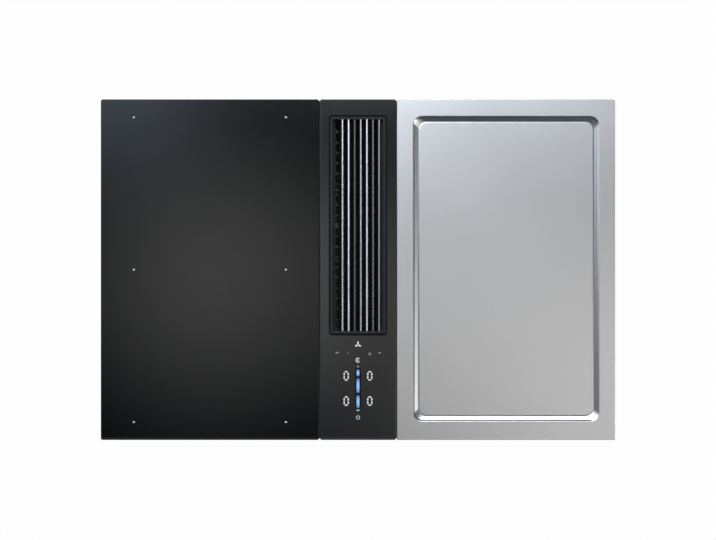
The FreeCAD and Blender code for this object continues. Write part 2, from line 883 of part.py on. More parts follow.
def grille_blade(index):
    """One slanted blade between the two ends of the frame."""
    inner_half = slot_length / 2 - grille_gap - grille_frame_strip
    middle = (index - (blade_count - 1) / 2) * blade_pitch + blade_shift
    left = middle - (blade_slope + blade_thickness) / 2
    right = middle + (blade_slope + blade_thickness) / 2
    bottom = grille_seat + cross_bar_height
    y = slot_centre_y - inner_half
    corners = [
        V(left, y, bottom), V(left + blade_thickness, y, bottom),
        V(right, y, grille_top), V(right - blade_thickness, y, grille_top),
    ]
    face = Part.Face(Part.makePolygon(corners + corners[:1]))
    return face.extrude(V(0, 2 * inner_half, 0))


def grille_blades():
    """All the blades, side by side."""
    return group([grille_blade(i) for i in range(blade_count)])


def filter_frame():
    """Frame of the grease filter, with a finger bar across its top."""
    walls = slot_ring(filter_margin, filter_margin - filter_wall, filter_bottom, filter_top)
    bar_half = cross_bar_width
    bar = box(-filter_half_x + filter_wall / 2, filter_half_x - filter_wall / 2,
              slot_centre_y - bar_half, slot_centre_y + bar_half, filter_top - filter_wall, filter_top)
    return fused([walls, bar])


def mesh_sheet(z0):
    """Slotted metal sheet that fills the filter frame."""
    margin = filter_margin - filter_wall
    blank = slot_block(margin, z0, z0 + mesh_thickness)
    width = slot_width + 2 * margin
    length = slot_length + 2 * margin
    pitch_x = width / mesh_rows
    pitch_y = length / mesh_columns
    holes = []
    for i in range(mesh_rows):
        x0 = -width / 2 + i * pitch_x + mesh_bridge / 2
        for j in range(mesh_columns):
            y0 = slot_centre_y - length / 2 + j * pitch_y + mesh_bridge / 2
            holes.append(box(x0, x0 + pitch_x - mesh_bridge, y0, y0 + pitch_y - mesh_bridge,
                             z0, z0 + mesh_thickness))
    return blank.cut(holes)


def filter_mesh():
    """Upper and lower mesh sheets."""
    upper = mesh_sheet(filter_top - mesh_top_gap - mesh_thickness)
    return group([mesh_sheet(filter_bottom + mesh_bottom_gap), upper])


def inlet_housing():
    """Air chamber under the slot: two ledges, a duct window and the drip tray's bay."""
    outer = box(-housing_half_x, housing_half_x, housing_front, housing_back, housing_bottom, deck_bottom)
    front_inner = housing_front + housing_wall
    back_inner = housing_back - housing_wall
    inner = box(-housing_inner_x, housing_inner_x, front_inner, back_inner, tray_floor, deck_bottom)
    shell = outer.cut(inner)
    room = box(-housing_inner_x, housing_inner_x, front_inner, back_inner, housing_bottom, deck_bottom)
    beyond = housing_margin_x + housing_margin_y
    top_flange = room.common(slot_ring(beyond, housing_flange_gap, deck_bottom - sheet, deck_bottom))
    grille_ledge = room.common(slot_ring(beyond, -ledge_width, grille_seat - ledge_thickness, grille_seat))
    filter_ledge = room.common(
        slot_ring(beyond, -ledge_width - filter_ledge_width, filter_bottom - ledge_thickness, filter_bottom)
    )
    rail_bottom = tray_top + sliding_clearance
    rails = []
    for sign in (-1, 1):
        rail_x = sign * (housing_inner_x - tray_rail_width)
        rails.append(box(sign * housing_inner_x, rail_x, front_inner, back_inner,
                         rail_bottom, rail_bottom + housing_wall))
    shell = fused([shell, top_flange, grille_ledge, filter_ledge] + rails)
    bay = box(-housing_inner_x, housing_inner_x, housing_front, front_inner, tray_floor, rail_bottom)
    window = box(housing_inner_x, housing_half_x, window_front + duct_wall, window_back - duct_wall,
                 duct_bottom + duct_wall, duct_top - duct_wall)
    return shell.cut([bay, window] + joining_holes())


def drip_tray():
    """Tray on the chamber's floor that slides out to the front by its grip."""
    half_x = housing_inner_x - sliding_clearance
    back = housing_back - housing_wall - sliding_clearance
    outer = box(-half_x, half_x, housing_front, back, tray_floor, tray_top)
    inner = box(-half_x + tray_wall, half_x - tray_wall, housing_front + tray_wall, back - tray_wall,
                tray_floor + tray_wall, tray_top)
    front_plate = box(-housing_half_x, housing_half_x, housing_front - tray_front_thickness, housing_front,
                      housing_bottom, tray_top + tray_front_thickness)
    grip_top = tray_top + tray_front_thickness
    grip_front = housing_front - tray_front_thickness - tray_grip_depth
    grip = box(-housing_half_x / 2, housing_half_x / 2, grip_front, housing_front - tray_front_thickness,
               grip_top - tray_front_thickness / 2, grip_top)
    return fused([outer.cut(inner), front_plate, grip])


def control_box():
    """Plastic box for the touch controls in front of the slot."""
    outer = box(-housing_half_x, housing_half_x, control_front, housing_front, -control_box_depth, deck_bottom)
    wall = control_box_wall
    inner = box(-housing_half_x + wall, housing_half_x - wall, control_front + wall, housing_front - wall,
                control_floor, deck_bottom)
    posts = []
    for sign in (-1, 1):
        for y in (control_front + control_post_inset_y, housing_front - control_post_inset_y):
            x = sign * (housing_half_x - control_post_inset_x)
            posts.append(cylinder(x, y, control_floor - wall / 2, touch_board_bottom, post_radius))
    shell = fused([outer.cut(inner)] + posts)
    return shell.cut(joining_holes())


def touch_board():
    """Circuit board with the touch fields."""
    margin = control_box_wall + touch_board_gap
    return box(-housing_half_x + margin, housing_half_x - margin, control_front + margin, housing_front - margin,
               touch_board_bottom, display_bottom)


def display_modules():
    """Four one-digit displays between the board and the glass."""
    modules = []
    for sign in (-1, 1):
        for row in display_rows:
            x = sign * display_offset_x
            y = row - half_depth
            modules.append(box(x - display_width / 2, x + display_width / 2,
                               y - display_length / 2, y + display_length / 2, display_bottom, deck_bottom))
    return group(modules)


def slider_light_guide():
    """Light guide under the lit slider."""
    half = slider_width / 2
    return box(-half, half, slider_front - half_depth, slider_back - half_depth, display_bottom, deck_bottom)


# ---------------------------------------------------------------- extraction

fan_centre_y = window_front + duct_end_gap + wheel_inlet_radius
scroll_outlet_y = fan_centre_y + scroll_outlet_reach
scroll_top = duct_bottom
scroll_bottom = scroll_top - scroll_height
scroll_floor = scroll_bottom + scroll_wall
scroll_lid = scroll_top - scroll_wall
scroll_base_radius = wheel_radius + wheel_tip_gap + scroll_step * math.sqrt(0.5)
scroll_right = fan_centre_x + scroll_step / 2 + scroll_base_radius + 3 * scroll_step
tongue_x = fan_centre_x - scroll_step / 2 + scroll_base_radius * math.sqrt(0.5)
motor_top = scroll_floor + motor_height
cup_radius = motor_radius + motor_cup_gap
wheel_bottom = scroll_floor + wheel_tip_gap
blade_bottom = wheel_bottom + wheel_plate
blade_top = blade_bottom + wheel_height
cup_bottom = motor_top + motor_cup_gap
cup_top = cup_bottom + wheel_plate
hub_top = cup_top + hub_height
spigot_right = scroll_right + spigot_offset
spigot_left = spigot_right - spigot_width
collar_end = casing_half_depth
collar_start = collar_end - collar_length
spigot_bottom = scroll_top - spigot_height
hinge_y = collar_start + flap_set_back
hinge_z = scroll_top - spigot_wall - flap_barrel_radius - flap_top_gap


def duct_outline(inset):
    """Plan of the suction duct: wide at the chamber, narrowing over the fan."""
    far_x = fan_centre_x + wheel_inlet_radius + duct_side_reach - inset
    far_back = fan_centre_y + wheel_inlet_radius + duct_back_reach - inset
    return [
        (housing_half_x, window_front + inset), (far_x, window_front + inset),
        (far_x, far_back), (housing_half_x, window_back - inset),
    ]


def suction_duct():
    """Flat duct from the chamber's window to the fan's inlet."""
    outer = prism(duct_outline(0), duct_bottom, duct_top)
    inner = prism(duct_outline(duct_wall), duct_bottom + duct_wall, duct_top - duct_wall)
    hole_radius = wheel_inlet_radius + duct_hole_clearance
    hole = cylinder(fan_centre_x, fan_centre_y, duct_bottom, duct_bottom + duct_wall, hole_radius)
    return outer.cut([inner, hole])


def spiral_centre(sx, sy):
    """Centre of one of the spiral's arcs, at a corner of a small square round the shaft."""
    return V(fan_centre_x + sx * scroll_step / 2, fan_centre_y + sy * scroll_step / 2, 0)


def arc_edge(centre, radius, start_angle, end_angle, z):
    """Arc between two angles in degrees, at one height."""
    points = []
    for angle in (start_angle, (start_angle + end_angle) / 2, end_angle):
        turn = math.radians(angle)
        points.append(V(centre.x + radius * math.cos(turn), centre.y + radius * math.sin(turn), z))
    return Part.Arc(points[0], points[1], points[2]).toShape()


def scroll_prism(inset, z0, z1):
    """Spiral plan of the fan housing, open to the back, as an upright prism."""
    base = scroll_base_radius - inset
    arcs = [
        arc_edge(spiral_centre(1, 1), base + 3 * scroll_step, 0, -90, z0),
        arc_edge(spiral_centre(1, -1), base + 2 * scroll_step, -90, -180, z0),
        arc_edge(spiral_centre(-1, -1), base + scroll_step, 180, 90, z0),
    ]
    tongue_centre = spiral_centre(-1, 1)
    tongue_angle = math.degrees(math.acos((tongue_x + inset - tongue_centre.x) / base))
    arcs.append(arc_edge(tongue_centre, base, 90, tongue_angle, z0))
    tongue_y = tongue_centre.y + base * math.sin(math.radians(tongue_angle))
    right = scroll_right - inset
    left = tongue_x + inset
    right_start = V(right, fan_centre_y + scroll_step / 2, z0)
    right_end = V(right, scroll_outlet_y, z0)
    left_end = V(left, scroll_outlet_y, z0)
    tongue = V(left, tongue_y, z0)
    walls = [
        Part.makeLine(tongue, left_end), Part.makeLine(left_end, right_end),
        Part.makeLine(right_end, right_start),
    ]
    outline = Part.Wire(Part.__sortEdges__(arcs + walls))
    return Part.Face(outline).extrude(V(0, 0, z1 - z0))


def lug_places():
    """Places outside the spiral wall where the fan housing hangs."""
    reach_left = (scroll_base_radius + 2 * scroll_step + lug_offset) * math.sqrt(0.5)
    reach_right = (scroll_base_radius + 3 * scroll_step + lug_offset) * math.sqrt(0.5)
    front_left = spiral_centre(1, -1)
    front_right = spiral_centre(1, 1)
    return [
        (front_left.x - reach_left, front_left.y - reach_left),
        (front_right.x + reach_right, front_right.y - reach_right),
        (scroll_right + lug_offset, scroll_outlet_y - outlet_lug_gap),
    ]


lug_seats = [V(x, y, scroll_lid - lug_height) for x, y in lug_places()]
lug_grip = lug_height + scroll_wall + hanger_thread_depth


def fan_scroll_lower():
    """Spiral tub of the extraction fan."""
    walls = scroll_prism(0, scroll_bottom, scroll_lid)
    lugs = [cylinder(x, y, scroll_lid - lug_height, scroll_lid, lug_radius) for x, y in lug_places()]
    hollow = scroll_prism(scroll_wall, scroll_floor, scroll_lid)
    tub = walls.fuse(lugs).cut(hollow)
    return drilled(tub, lug_seats, Z_AXIS, lug_height)


def fan_scroll_upper():
    """Lid of the fan housing, with the hole for the inlet nozzle."""
    lid = scroll_prism(0, scroll_lid, scroll_top)
    lugs = [cylinder(x, y, scroll_lid, scroll_top, lug_radius) for x, y in lug_places()]
    hole = cylinder(fan_centre_x, fan_centre_y, scroll_lid, scroll_top, wheel_inlet_radius + scroll_wall)
    return drilled(lid.fuse(lugs).cut(hole), lug_seats, Z_AXIS, lug_grip)


def fan_inlet_nozzle():
    """Ring set in the lid that leads the air into the eye of the wheel."""
    bottom = scroll_lid - wheel_tip_gap
    return tube(fan_centre_x, fan_centre_y, bottom, scroll_top, wheel_inlet_radius + scroll_wall, wheel_inlet_radius)


def fan_hangers():
    """Pillars that hang the fan housing under the griddle casing."""
    pillars = [cylinder(x, y, scroll_top, -griddle_casing_depth, hanger_radius) for x, y in lug_places()]
    return group([drilled(pillar, lug_seats, Z_AXIS, lug_grip + hanger_bore_gap) for pillar in pillars])


def scroll_screws():
    """Screws from below through tub and lid into the pillars."""
    return screws_at(lug_seats, Z_AXIS, lug_grip)


def fan_motor():
    """Motor on the tub's floor, with the bearing bore for the shaft."""
    body = cylinder(fan_centre_x, fan_centre_y, scroll_floor, motor_top, motor_radius)
    bore_radius = motor_shaft_radius + running_clearance
    bore = cylinder(fan_centre_x, fan_centre_y, motor_top - motor_bearing_depth, motor_top, bore_radius)
    return body.cut(bore)


def motor_shaft():
    """Shaft that carries the wheel; it ends just above the bottom of its bearing."""
    bottom = motor_top - motor_bearing_depth + motor_shaft_end_gap
    return cylinder(fan_centre_x, fan_centre_y, bottom, hub_top, motor_shaft_radius)


def fan_wheel():
    """Extraction wheel: back plate with motor cup and hub, and its blades."""
    x = fan_centre_x
    y = fan_centre_y
    blade_foot = wheel_radius - wheel_blade_depth
    back_plate = fused([
        tube(x, y, wheel_bottom, blade_bottom, wheel_radius, cup_radius),
        tube(x, y, blade_bottom, cup_top, cup_radius + wheel_plate, cup_radius),
        tube(x, y, cup_bottom, cup_top, cup_radius + wheel_plate, motor_shaft_radius),
        tube(x, y, cup_top, hub_top, hub_radius, motor_shaft_radius),
    ])
    half = wheel_blade_thickness / 2
    blade_inner = x + blade_foot + blade_edge_inset
    blade_outer = x + wheel_radius - blade_edge_inset
    blades = []
    for i in range(wheel_blades):
        blade = box(blade_inner, blade_outer, y - half, y + half, blade_bottom, blade_top)
        blade.rotate(V(x, y, 0), Z_AXIS, 360.0 * i / wheel_blades)
        blades.append(blade)
    return group([back_plate] + blades)


def fan_wheel_ring():
    """Ring that ties the tops of the wheel's blades together round its open eye."""
    ring_top = blade_top + wheel_plate
    return tube(fan_centre_x, fan_centre_y, blade_top, ring_top, wheel_radius, wheel_radius - wheel_blade_depth)


def spigot_outline(inset):
    """Plan of the outlet: an adapter that widens from the scroll, then a straight collar."""
    return [
        (tongue_x + inset, scroll_outlet_y), (scroll_right - inset, scroll_outlet_y),
        (spigot_right - inset, collar_start), (spigot_right - inset, collar_end),
        (spigot_left + inset, collar_end), (spigot_left + inset, collar_start),
    ]


def duct_spigot():
    """Flat outlet collar for the exhaust duct, with the flap's pin holes and stop."""
    outer = prism(spigot_outline(0), spigot_bottom, scroll_top)
    inner = prism(spigot_outline(spigot_wall), spigot_bottom + spigot_wall, scroll_top - spigot_wall)
    stop_back = hinge_y - flap_thickness / 2 - flap_stop_gap
    floor = spigot_bottom + spigot_wall
    stop = box(spigot_left + spigot_wall, spigot_right - spigot_wall, stop_back - 2 * spigot_wall, stop_back,
               floor - spigot_wall / 2, floor + 3 * spigot_wall)
    pin_hole = rod(V(spigot_left, hinge_y, hinge_z), V(spigot_right, hinge_y, hinge_z), flap_pin_radius)
    return fused([outer.cut(inner), stop]).cut(pin_hole)


def flap_pin():
    """Pin across the collar on which the flap swings."""
    return rod(V(spigot_left, hinge_y, hinge_z), V(spigot_right, hinge_y, hinge_z), flap_pin_radius)


def backdraft_flap():
    """Flap that hangs shut and is blown open by the outgoing air."""
    x0 = spigot_left + spigot_wall + flap_gap
    x1 = spigot_right - spigot_wall - flap_gap
    half = flap_thickness / 2
    bottom = spigot_bottom + spigot_wall + flap_gap
    leaf = box(x0, x1, hinge_y - half, hinge_y + half, bottom, hinge_z)
    barrel = rod(V(x0, hinge_y, hinge_z), V(x1, hinge_y, hinge_z), flap_barrel_radius)
    bore = rod(V(x0, hinge_y, hinge_z), V(x1, hinge_y, hinge_z), flap_pin_radius + running_clearance)
    return fused([leaf, barrel]).cut(bore)


# ---------------------------------------------------------------- griddle module

plate_bottom = deck_bottom + griddle_frame_thickness
plateau_top = deck_top - plateau_drop
groove_half_x = side_module_width / 2 - griddle_rim_x
groove_front = -half_depth + griddle_rim_front
groove_back = half_depth - griddle_rim_back
spreader_bottom = plate_bottom - spreader_thickness
element_z = spreader_bottom - element_radius
element_bottom = spreader_bottom - 2 * element_radius
clamp_bottom = element_bottom - clamp_thickness
insulation_bottom = clamp_bottom - insulation_thickness
insulation_tray_bottom = insulation_bottom - sheet
griddle_floor = -griddle_casing_depth + sheet
relay_board_bottom = griddle_floor + standoff_height
relay_board_top = relay_board_bottom + board_thickness


def inside_groove(inset, z0, z1, radius):
    """Rounded block inside the groove's outer outline, at an even inset."""
    half_x = groove_half_x - inset
    front = groove_front + inset
    back = groove_back - inset
    return plate(side_centre - half_x, side_centre + half_x, front, back, z0, z1, radius)


def griddle_plate():
    """Steel griddle plate with its drip groove round a slightly lower cooking surface."""
    blank = deck_blank(side_centre, side_module_width, deck_top, plate_bottom, griddle_corner_radius)
    groove_floor = deck_top - groove_depth
    trough = inside_groove(0, groove_floor, deck_top, groove_corner_radius)
    island = inside_groove(groove_width, groove_floor, deck_top, plateau_corner_radius)
    groove = trough.cut(island)
    floor_edges = [e for e in groove.Edges if e.BoundBox.ZMax < groove_floor + 0.01]
    groove = groove.makeFillet(groove_edge_radius, floor_edges)
    recess = inside_groove(groove_width - 0.01, plateau_top, deck_top, plateau_corner_radius)
    return blank.cut([groove, recess])


def griddle_frame():
    """Black frame under the plate: square front corners, rounded back corners."""
    x0 = side_centre - side_module_width / 2
    x1 = side_centre + side_module_width / 2
    blank = box(x0, x1, -half_depth, half_depth, deck_bottom, plate_bottom)
    back_edges = []
    for edge in blank.Edges:
        upright = abs(edge.tangentAt(edge.FirstParameter).z) > 0.9
        if upright and edge.BoundBox.YMin > 0:
            back_edges.append(edge)
    blank = blank.makeFillet(griddle_corner_radius, back_edges)
    inset = side_casing_inset + sheet
    return blank.cut(box(x0 + inset, x1 - inset, -half_depth + inset, half_depth - inset, deck_bottom, plate_bottom))


def heat_spreader():
    """Aluminium plate that spreads the heat under the cooking surface."""
    inset = groove_width + spreader_margin
    return inside_groove(inset, spreader_bottom, plate_bottom, plateau_corner_radius - spreader_margin)


def heating_element(sign):
    """Tubular element bent back and forth under the front (-1) or rear (+1) half."""
    half = element_run_length / 2
    edges = []
    for i in range(element_runs):
        y = sign * (element_split + i * element_pitch)
        run_sign = 1 if i % 2 == 0 else -1
        start = V(side_centre - run_sign * half, y, element_z)
        end = V(side_centre + run_sign * half, y, element_z)
        edges.append(Part.makeLine(start, end))
        if i < element_runs - 1:
            bend = element_pitch / 2
            middle = V(end.x + run_sign * bend, y + sign * bend, element_z)
            following = V(end.x, y + sign * element_pitch, element_z)
            edges.append(Part.Arc(end, middle, following).toShape())
    path = Part.Wire(edges)
    first = V(side_centre - half, sign * element_split, element_z)
    section = Part.Wire(Part.makeCircle(element_radius, first, X_AXIS))
    return path.makePipeShell([section], True, False)


def element_clamps():
    """Bars across the heating elements, with feet at both ends on the heat spreader."""
    end_y = groove_back - groove_width - spreader_margin - plateau_corner_radius
    bars = []
    for i in (-1, 0, 1):
        x0 = side_centre + i * clamp_pitch - clamp_width / 2
        x1 = x0 + clamp_width
        bar = box(x0, x1, -end_y, end_y, clamp_bottom, element_bottom)
        front_foot = box(x0, x1, -end_y, -end_y + clamp_foot, clamp_bottom, spreader_bottom)
        back_foot = box(x0, x1, end_y - clamp_foot, end_y, clamp_bottom, spreader_bottom)
        bars.append(fused([bar, front_foot, back_foot]))
    return group(bars)


def griddle_insulation():
    """Ceramic fibre block under the elements."""
    inset = groove_width + spreader_margin + insulation_margin
    half_x = groove_half_x - inset
    return box(side_centre - half_x, side_centre + half_x, groove_front + inset, groove_back - inset,
               insulation_bottom, clamp_bottom)


def insulation_tray():
    """Sheet tray that holds the insulation above the casing floor on two folded legs."""
    inset = groove_width + spreader_margin + insulation_margin
    half_x = groove_half_x - inset
    front = groove_front + inset
    back = groove_back - inset
    x0 = side_centre - half_x
    x1 = side_centre + half_x
    deck = box(x0, x1, front, back, insulation_tray_bottom, insulation_bottom)
    left_leg = box(x0, x0 + sheet, front, back, griddle_floor, insulation_bottom)
    right_leg = box(x1 - sheet, x1, front, back, griddle_floor, insulation_bottom)
    return fused([deck, left_leg, right_leg])


def griddle_sensors():
    """Temperature probes against the heat spreader, one per heating element."""
    y = element_split + element_pitch * (element_runs / 2 - 0.5)
    x = side_centre + clamp_pitch / 2
    return group([cylinder(x, sign * y, clamp_bottom, spreader_bottom, sensor_radius) for sign in (-1, 1)])


def relay_board_y():
    """The griddle's relay board sits near the back of its casing."""
    return casing_half_depth - relay_board_back_gap - relay_board_length / 2


def griddle_relay_board():
    """Relay board of the griddle with its row of relays."""
    y = relay_board_y()
    x0 = side_centre - relay_board_width / 2
    x1 = side_centre + relay_board_width / 2
    half_length = relay_board_length / 2
    pieces = [box(x0, x1, y - half_length, y + half_length, relay_board_bottom, relay_board_top)]
    pitch = relay_board_width / relay_count
    for i in range(relay_count):
        x = x0 + (i + 0.5) * pitch
        pieces.append(box(x - relay_size / 2, x + relay_size / 2, y - relay_size / 2, y + relay_size / 2,
                          relay_board_top, relay_board_top + relay_height))
    return group(pieces)


def relay_standoffs():
    """Standoffs at the corners of the relay board."""
    posts = []
    for sx in (-1, 1):
        for sy in (-1, 1):
            x = side_centre + sx * (relay_board_width / 2 - board_post_inset)
            y = relay_board_y() + sy * (relay_board_length / 2 - board_post_inset)
            posts.append(cylinder(x, y, griddle_floor, relay_board_bottom, post_radius))
    return posts


def griddle_casing():
    """Casing of the griddle module, with vents in its front and rear walls."""
    shell = casing_shell(side_centre, griddle_casing_depth, deck_bottom)
    cuts = []
    vent_z = griddle_floor + griddle_vent_gap
    for i in range(vent_count):
        x = side_centre + (i - (vent_count - 1) / 2) * vent_pitch
        cuts.append(box(x - vent_width / 2, x + vent_width / 2, -casing_half_depth, -casing_half_depth + sheet,
                        vent_z, vent_z + vent_length))
        cuts.append(box(x - vent_width / 2, x + vent_width / 2, casing_half_depth - sheet, casing_half_depth,
                        vent_z, vent_z + vent_length))
    return shell.cut(cuts + joining_holes() + clip_holes())


def all_standoffs():
    """Plastic standoffs under both power boards."""
    return group(board_standoffs() + relay_standoffs())


def housing_screws():
    """Every pan-head screw of the brackets, the clips and the fan housing."""
    return group(joining_screws() + clip_screws() + scroll_screws())


# ---------------------------------------------------------------- nodes

nodes = {
    "worktop_seal": worktop_seal(),
    "joint_profiles": joint_profiles(),
    "joining_brackets": joining_brackets(),
    "worktop_clips": worktop_clips(),
    "housing_screws": housing_screws(),
    "induction_glass": induction_glass(),
    "induction_casing": induction_casing(),
    "mica_sheet": mica_sheet(),
    "front_zone_coils": zone_coils(-1),
    "rear_zone_coils": zone_coils(1),
    "coil_carriers": coil_carriers(),
    "ferrite_bars": ferrite_bars(),
    "coil_shield_plate": coil_shield_plate(),
    "plate_posts": plate_posts(),
    "zone_sensors": zone_sensors(),
    "inverter_board": inverter_board(),
    "board_standoffs": all_standoffs(),
    "inverter_heat_sink": inverter_heat_sink(),
    "power_transistors": power_transistors(),
    "inverter_capacitors": inverter_capacitors(),
    "filter_choke": filter_choke(),
    "terminal_block": terminal_block(),
    "mains_gland": mains_gland(),
    "cooling_fan_housing": blower_housing(),
    "cooling_fan_motor": cooling_fan_motor(),
    "cooling_fan_impeller": cooling_fan_impeller(),
    "downdraft_glass": downdraft_glass(),
    "grille_frame": grille_frame(),
    "grille_blades": grille_blades(),
    "filter_frame": filter_frame(),
    "filter_mesh": filter_mesh(),
    "inlet_housing": inlet_housing(),
    "drip_tray": drip_tray(),
    "control_box": control_box(),
    "touch_board": touch_board(),
    "display_modules": display_modules(),
    "slider_light_guide": slider_light_guide(),
    "suction_duct": suction_duct(),
    "fan_scroll_lower": fan_scroll_lower(),
    "fan_scroll_upper": fan_scroll_upper(),
    "fan_inlet_nozzle": fan_inlet_nozzle(),
    "fan_wheel": fan_wheel(),
    "fan_wheel_ring": fan_wheel_ring(),
    "fan_motor": fan_motor(),
    "motor_shaft": motor_shaft(),
    "fan_hangers": fan_hangers(),
    "duct_spigot": duct_spigot(),
    "backdraft_flap": backdraft_flap(),
    "flap_pin": flap_pin(),
    "griddle_plate": griddle_plate(),
    "griddle_frame": griddle_frame(),
    "heat_spreader": heat_spreader(),
    "front_heating_element": heating_element(-1),
    "rear_heating_element": heating_element(1),
    "element_clamps": element_clamps(),
    "griddle_insulation": griddle_insulation(),
    "insulation_tray": insulation_tray(),
    "griddle_sensors": griddle_sensors(),
    "griddle_relay_board": griddle_relay_board(),
    "griddle_casing": griddle_casing(),
}

os.makedirs("parts", exist_ok=True)
for name, shape in nodes.items():
    shape.exportStep("parts/" + name + ".step")
    print(name, len(shape.Solids), "solids", round(shape.Volume / 1000.0, 1), "cm3", shape.isValid())
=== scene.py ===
# %% [markdown]
# # A drop-in cooktop in three modules
# An induction module of black glass stands left of a narrow black glass module with the
# downdraft slot and the touch controls, and a steel griddle module stands right of it.
# The solid model comes in as a fixed frame in metres. Most of its solids keep their
# shape and get a better finish, and five on the deck are replaced by finer pieces.
# Nothing added here may reach outside the solids' box.

# %% Load the frame
import bmesh
import bpy
import json
import math
from mathutils import Matrix, Vector


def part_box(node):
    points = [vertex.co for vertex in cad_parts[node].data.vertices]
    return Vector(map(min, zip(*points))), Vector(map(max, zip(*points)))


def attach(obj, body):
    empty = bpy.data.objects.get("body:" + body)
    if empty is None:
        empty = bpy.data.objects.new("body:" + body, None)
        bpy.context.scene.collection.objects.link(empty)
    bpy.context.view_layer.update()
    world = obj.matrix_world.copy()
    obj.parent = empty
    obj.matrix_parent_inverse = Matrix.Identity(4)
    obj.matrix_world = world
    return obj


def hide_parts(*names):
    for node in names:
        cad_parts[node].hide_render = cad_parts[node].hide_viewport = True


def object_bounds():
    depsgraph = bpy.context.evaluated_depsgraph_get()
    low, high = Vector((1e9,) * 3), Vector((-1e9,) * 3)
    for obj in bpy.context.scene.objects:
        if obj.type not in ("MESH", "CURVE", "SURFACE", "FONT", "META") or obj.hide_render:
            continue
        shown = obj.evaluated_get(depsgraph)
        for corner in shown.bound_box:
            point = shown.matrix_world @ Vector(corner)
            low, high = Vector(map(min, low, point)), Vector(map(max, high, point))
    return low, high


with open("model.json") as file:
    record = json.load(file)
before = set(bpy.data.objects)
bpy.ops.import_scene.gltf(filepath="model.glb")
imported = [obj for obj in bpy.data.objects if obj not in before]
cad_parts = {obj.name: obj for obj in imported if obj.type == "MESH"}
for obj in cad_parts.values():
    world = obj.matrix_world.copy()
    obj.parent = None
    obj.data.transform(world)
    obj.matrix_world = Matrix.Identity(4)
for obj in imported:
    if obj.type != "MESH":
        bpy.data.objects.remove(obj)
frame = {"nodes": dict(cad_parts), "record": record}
cad_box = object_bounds()
print("solid model from", [round(v, 4) for v in cad_box[0]], "to", [round(v, 4) for v in cad_box[1]])

# %% [markdown]
# ## Sizes of the deck
# The pieces on the deck are placed from the solids' own boxes, so they always meet what
# carries them. All lengths below are real millimetres, turned into metres by `mm`.

# %% Deck sizes
def mm(value):
    """Millimetres as metres."""
    return value * 0.001


glass_low, glass_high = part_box("induction_glass")
centre_low, centre_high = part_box("downdraft_glass")
plate_low, plate_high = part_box("griddle_plate")
slot_low, slot_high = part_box("grille_frame")
deck_top = glass_high[2]
left_middle = (glass_low[0] + glass_high[0]) / 2
steel_middle = (plate_low[0] + plate_high[0]) / 2
slot_middle_y = (slot_low[1] + slot_high[1]) / 2
print("deck top", round(deck_top, 4), "left glass middle", round(left_middle, 4))

# %% [markdown]
# ## Small helpers
# A colour is written the way a designer writes it, as a hex value on the screen's own
# scale, and one function turns it into the linear light that shaders work in. Another
# adds a shader node, and a few short ones build on that.

# %% Colour and node helpers
def linear(hex_colour):
    """Screen colour such as "#8C8C90" as linear red, green, blue and full alpha."""
    values = []
    for start in (1, 3, 5):
        screen = int(hex_colour[start:start + 2], 16) / 255
        values.append(screen / 12.92 if screen <= 0.04045 else ((screen + 0.055) / 1.055) ** 2.4)
    return values + [1.0]


def add_node(tree, kind, inputs=None, **settings):
    """Add one node; an input gets a value, or a link when it is given an output socket."""
    node = tree.nodes.new(kind)
    for name, value in settings.items():
        setattr(node, name, value)
    for key, value in (inputs or {}).items():
        socket = node.inputs[key]
        if isinstance(value, bpy.types.NodeSocket):
            tree.links.new(value, socket)
        else:
            socket.default_value = value
    return node


# %% [markdown]
# Every finish starts from the same three things: the shader, the object's own
# coordinates, which stay fixed to a piece from any view, and the output. A finish
# function then adds the pattern that its real material shows.

# %% Start of a finish
def new_finish(name, colour, roughness, metallic=0.0):
    """Material with its shader and object coordinates: (material, tree, shader, place)."""
    material = bpy.data.materials.new(name)
    material.use_nodes = True
    tree = material.node_tree
    shader = tree.nodes["Principled BSDF"]
    shader.inputs["Base Color"].default_value = linear(colour)
    shader.inputs["Roughness"].default_value = roughness
    shader.inputs["Metallic"].default_value = metallic
    place = add_node(tree, "ShaderNodeTexCoord").outputs["Object"]
    material.diffuse_color = linear(colour)
    return material, tree, shader, place


def grain(tree, place, size_mm, detail=2.0, stretch=(1.0, 1.0, 1.0)):
    """Noise whose lumps are about size_mm across, drawn out along an axis by stretch."""
    frequency = 1.0 / mm(size_mm)
    scale = [frequency / s for s in stretch]
    spread = add_node(tree, "ShaderNodeMapping", {"Vector": place, "Scale": scale})
    noise = add_node(tree, "ShaderNodeTexNoise", {"Vector": spread.outputs[0], "Scale": 1.0, "Detail": detail})
    return noise.outputs["Fac"]


def calculate(tree, operation, first, second):
    """Output of one operation on two numbers, each a value or another node's output."""
    return add_node(tree, "ShaderNodeMath", {0: first, 1: second}, operation=operation).outputs[0]


def blend(tree, amount, dark, light):
    """Linear colour that goes from dark to light with a 0 to 1 pattern."""
    ramp = add_node(tree, "ShaderNodeMix", {"Factor": amount, "A": dark, "B": light}, data_type="RGBA")
    return ramp.outputs["Result"]


def mottle(tree, shader, amount, dark, light):
    """Base colour that wanders between two screen colours with a 0 to 1 pattern."""
    tree.links.new(blend(tree, amount, linear(dark), linear(light)), shader.inputs["Base Color"])


def vary_roughness(tree, shader, amount, low, high):
    """Roughness that follows a 0 to 1 pattern between two values."""
    spread = add_node(tree, "ShaderNodeMapRange", {"Value": amount, "To Min": low, "To Max": high})
    tree.links.new(spread.outputs[0], shader.inputs["Roughness"])


def emboss(tree, shader, height, depth_mm, strength=1.0):
    """Bump of a real depth in millimetres from a 0 to 1 pattern."""
    bump = add_node(tree, "ShaderNodeBump", {"Height": height, "Distance": mm(depth_mm), "Strength": strength})
    tree.links.new(bump.outputs[0], shader.inputs["Normal"])


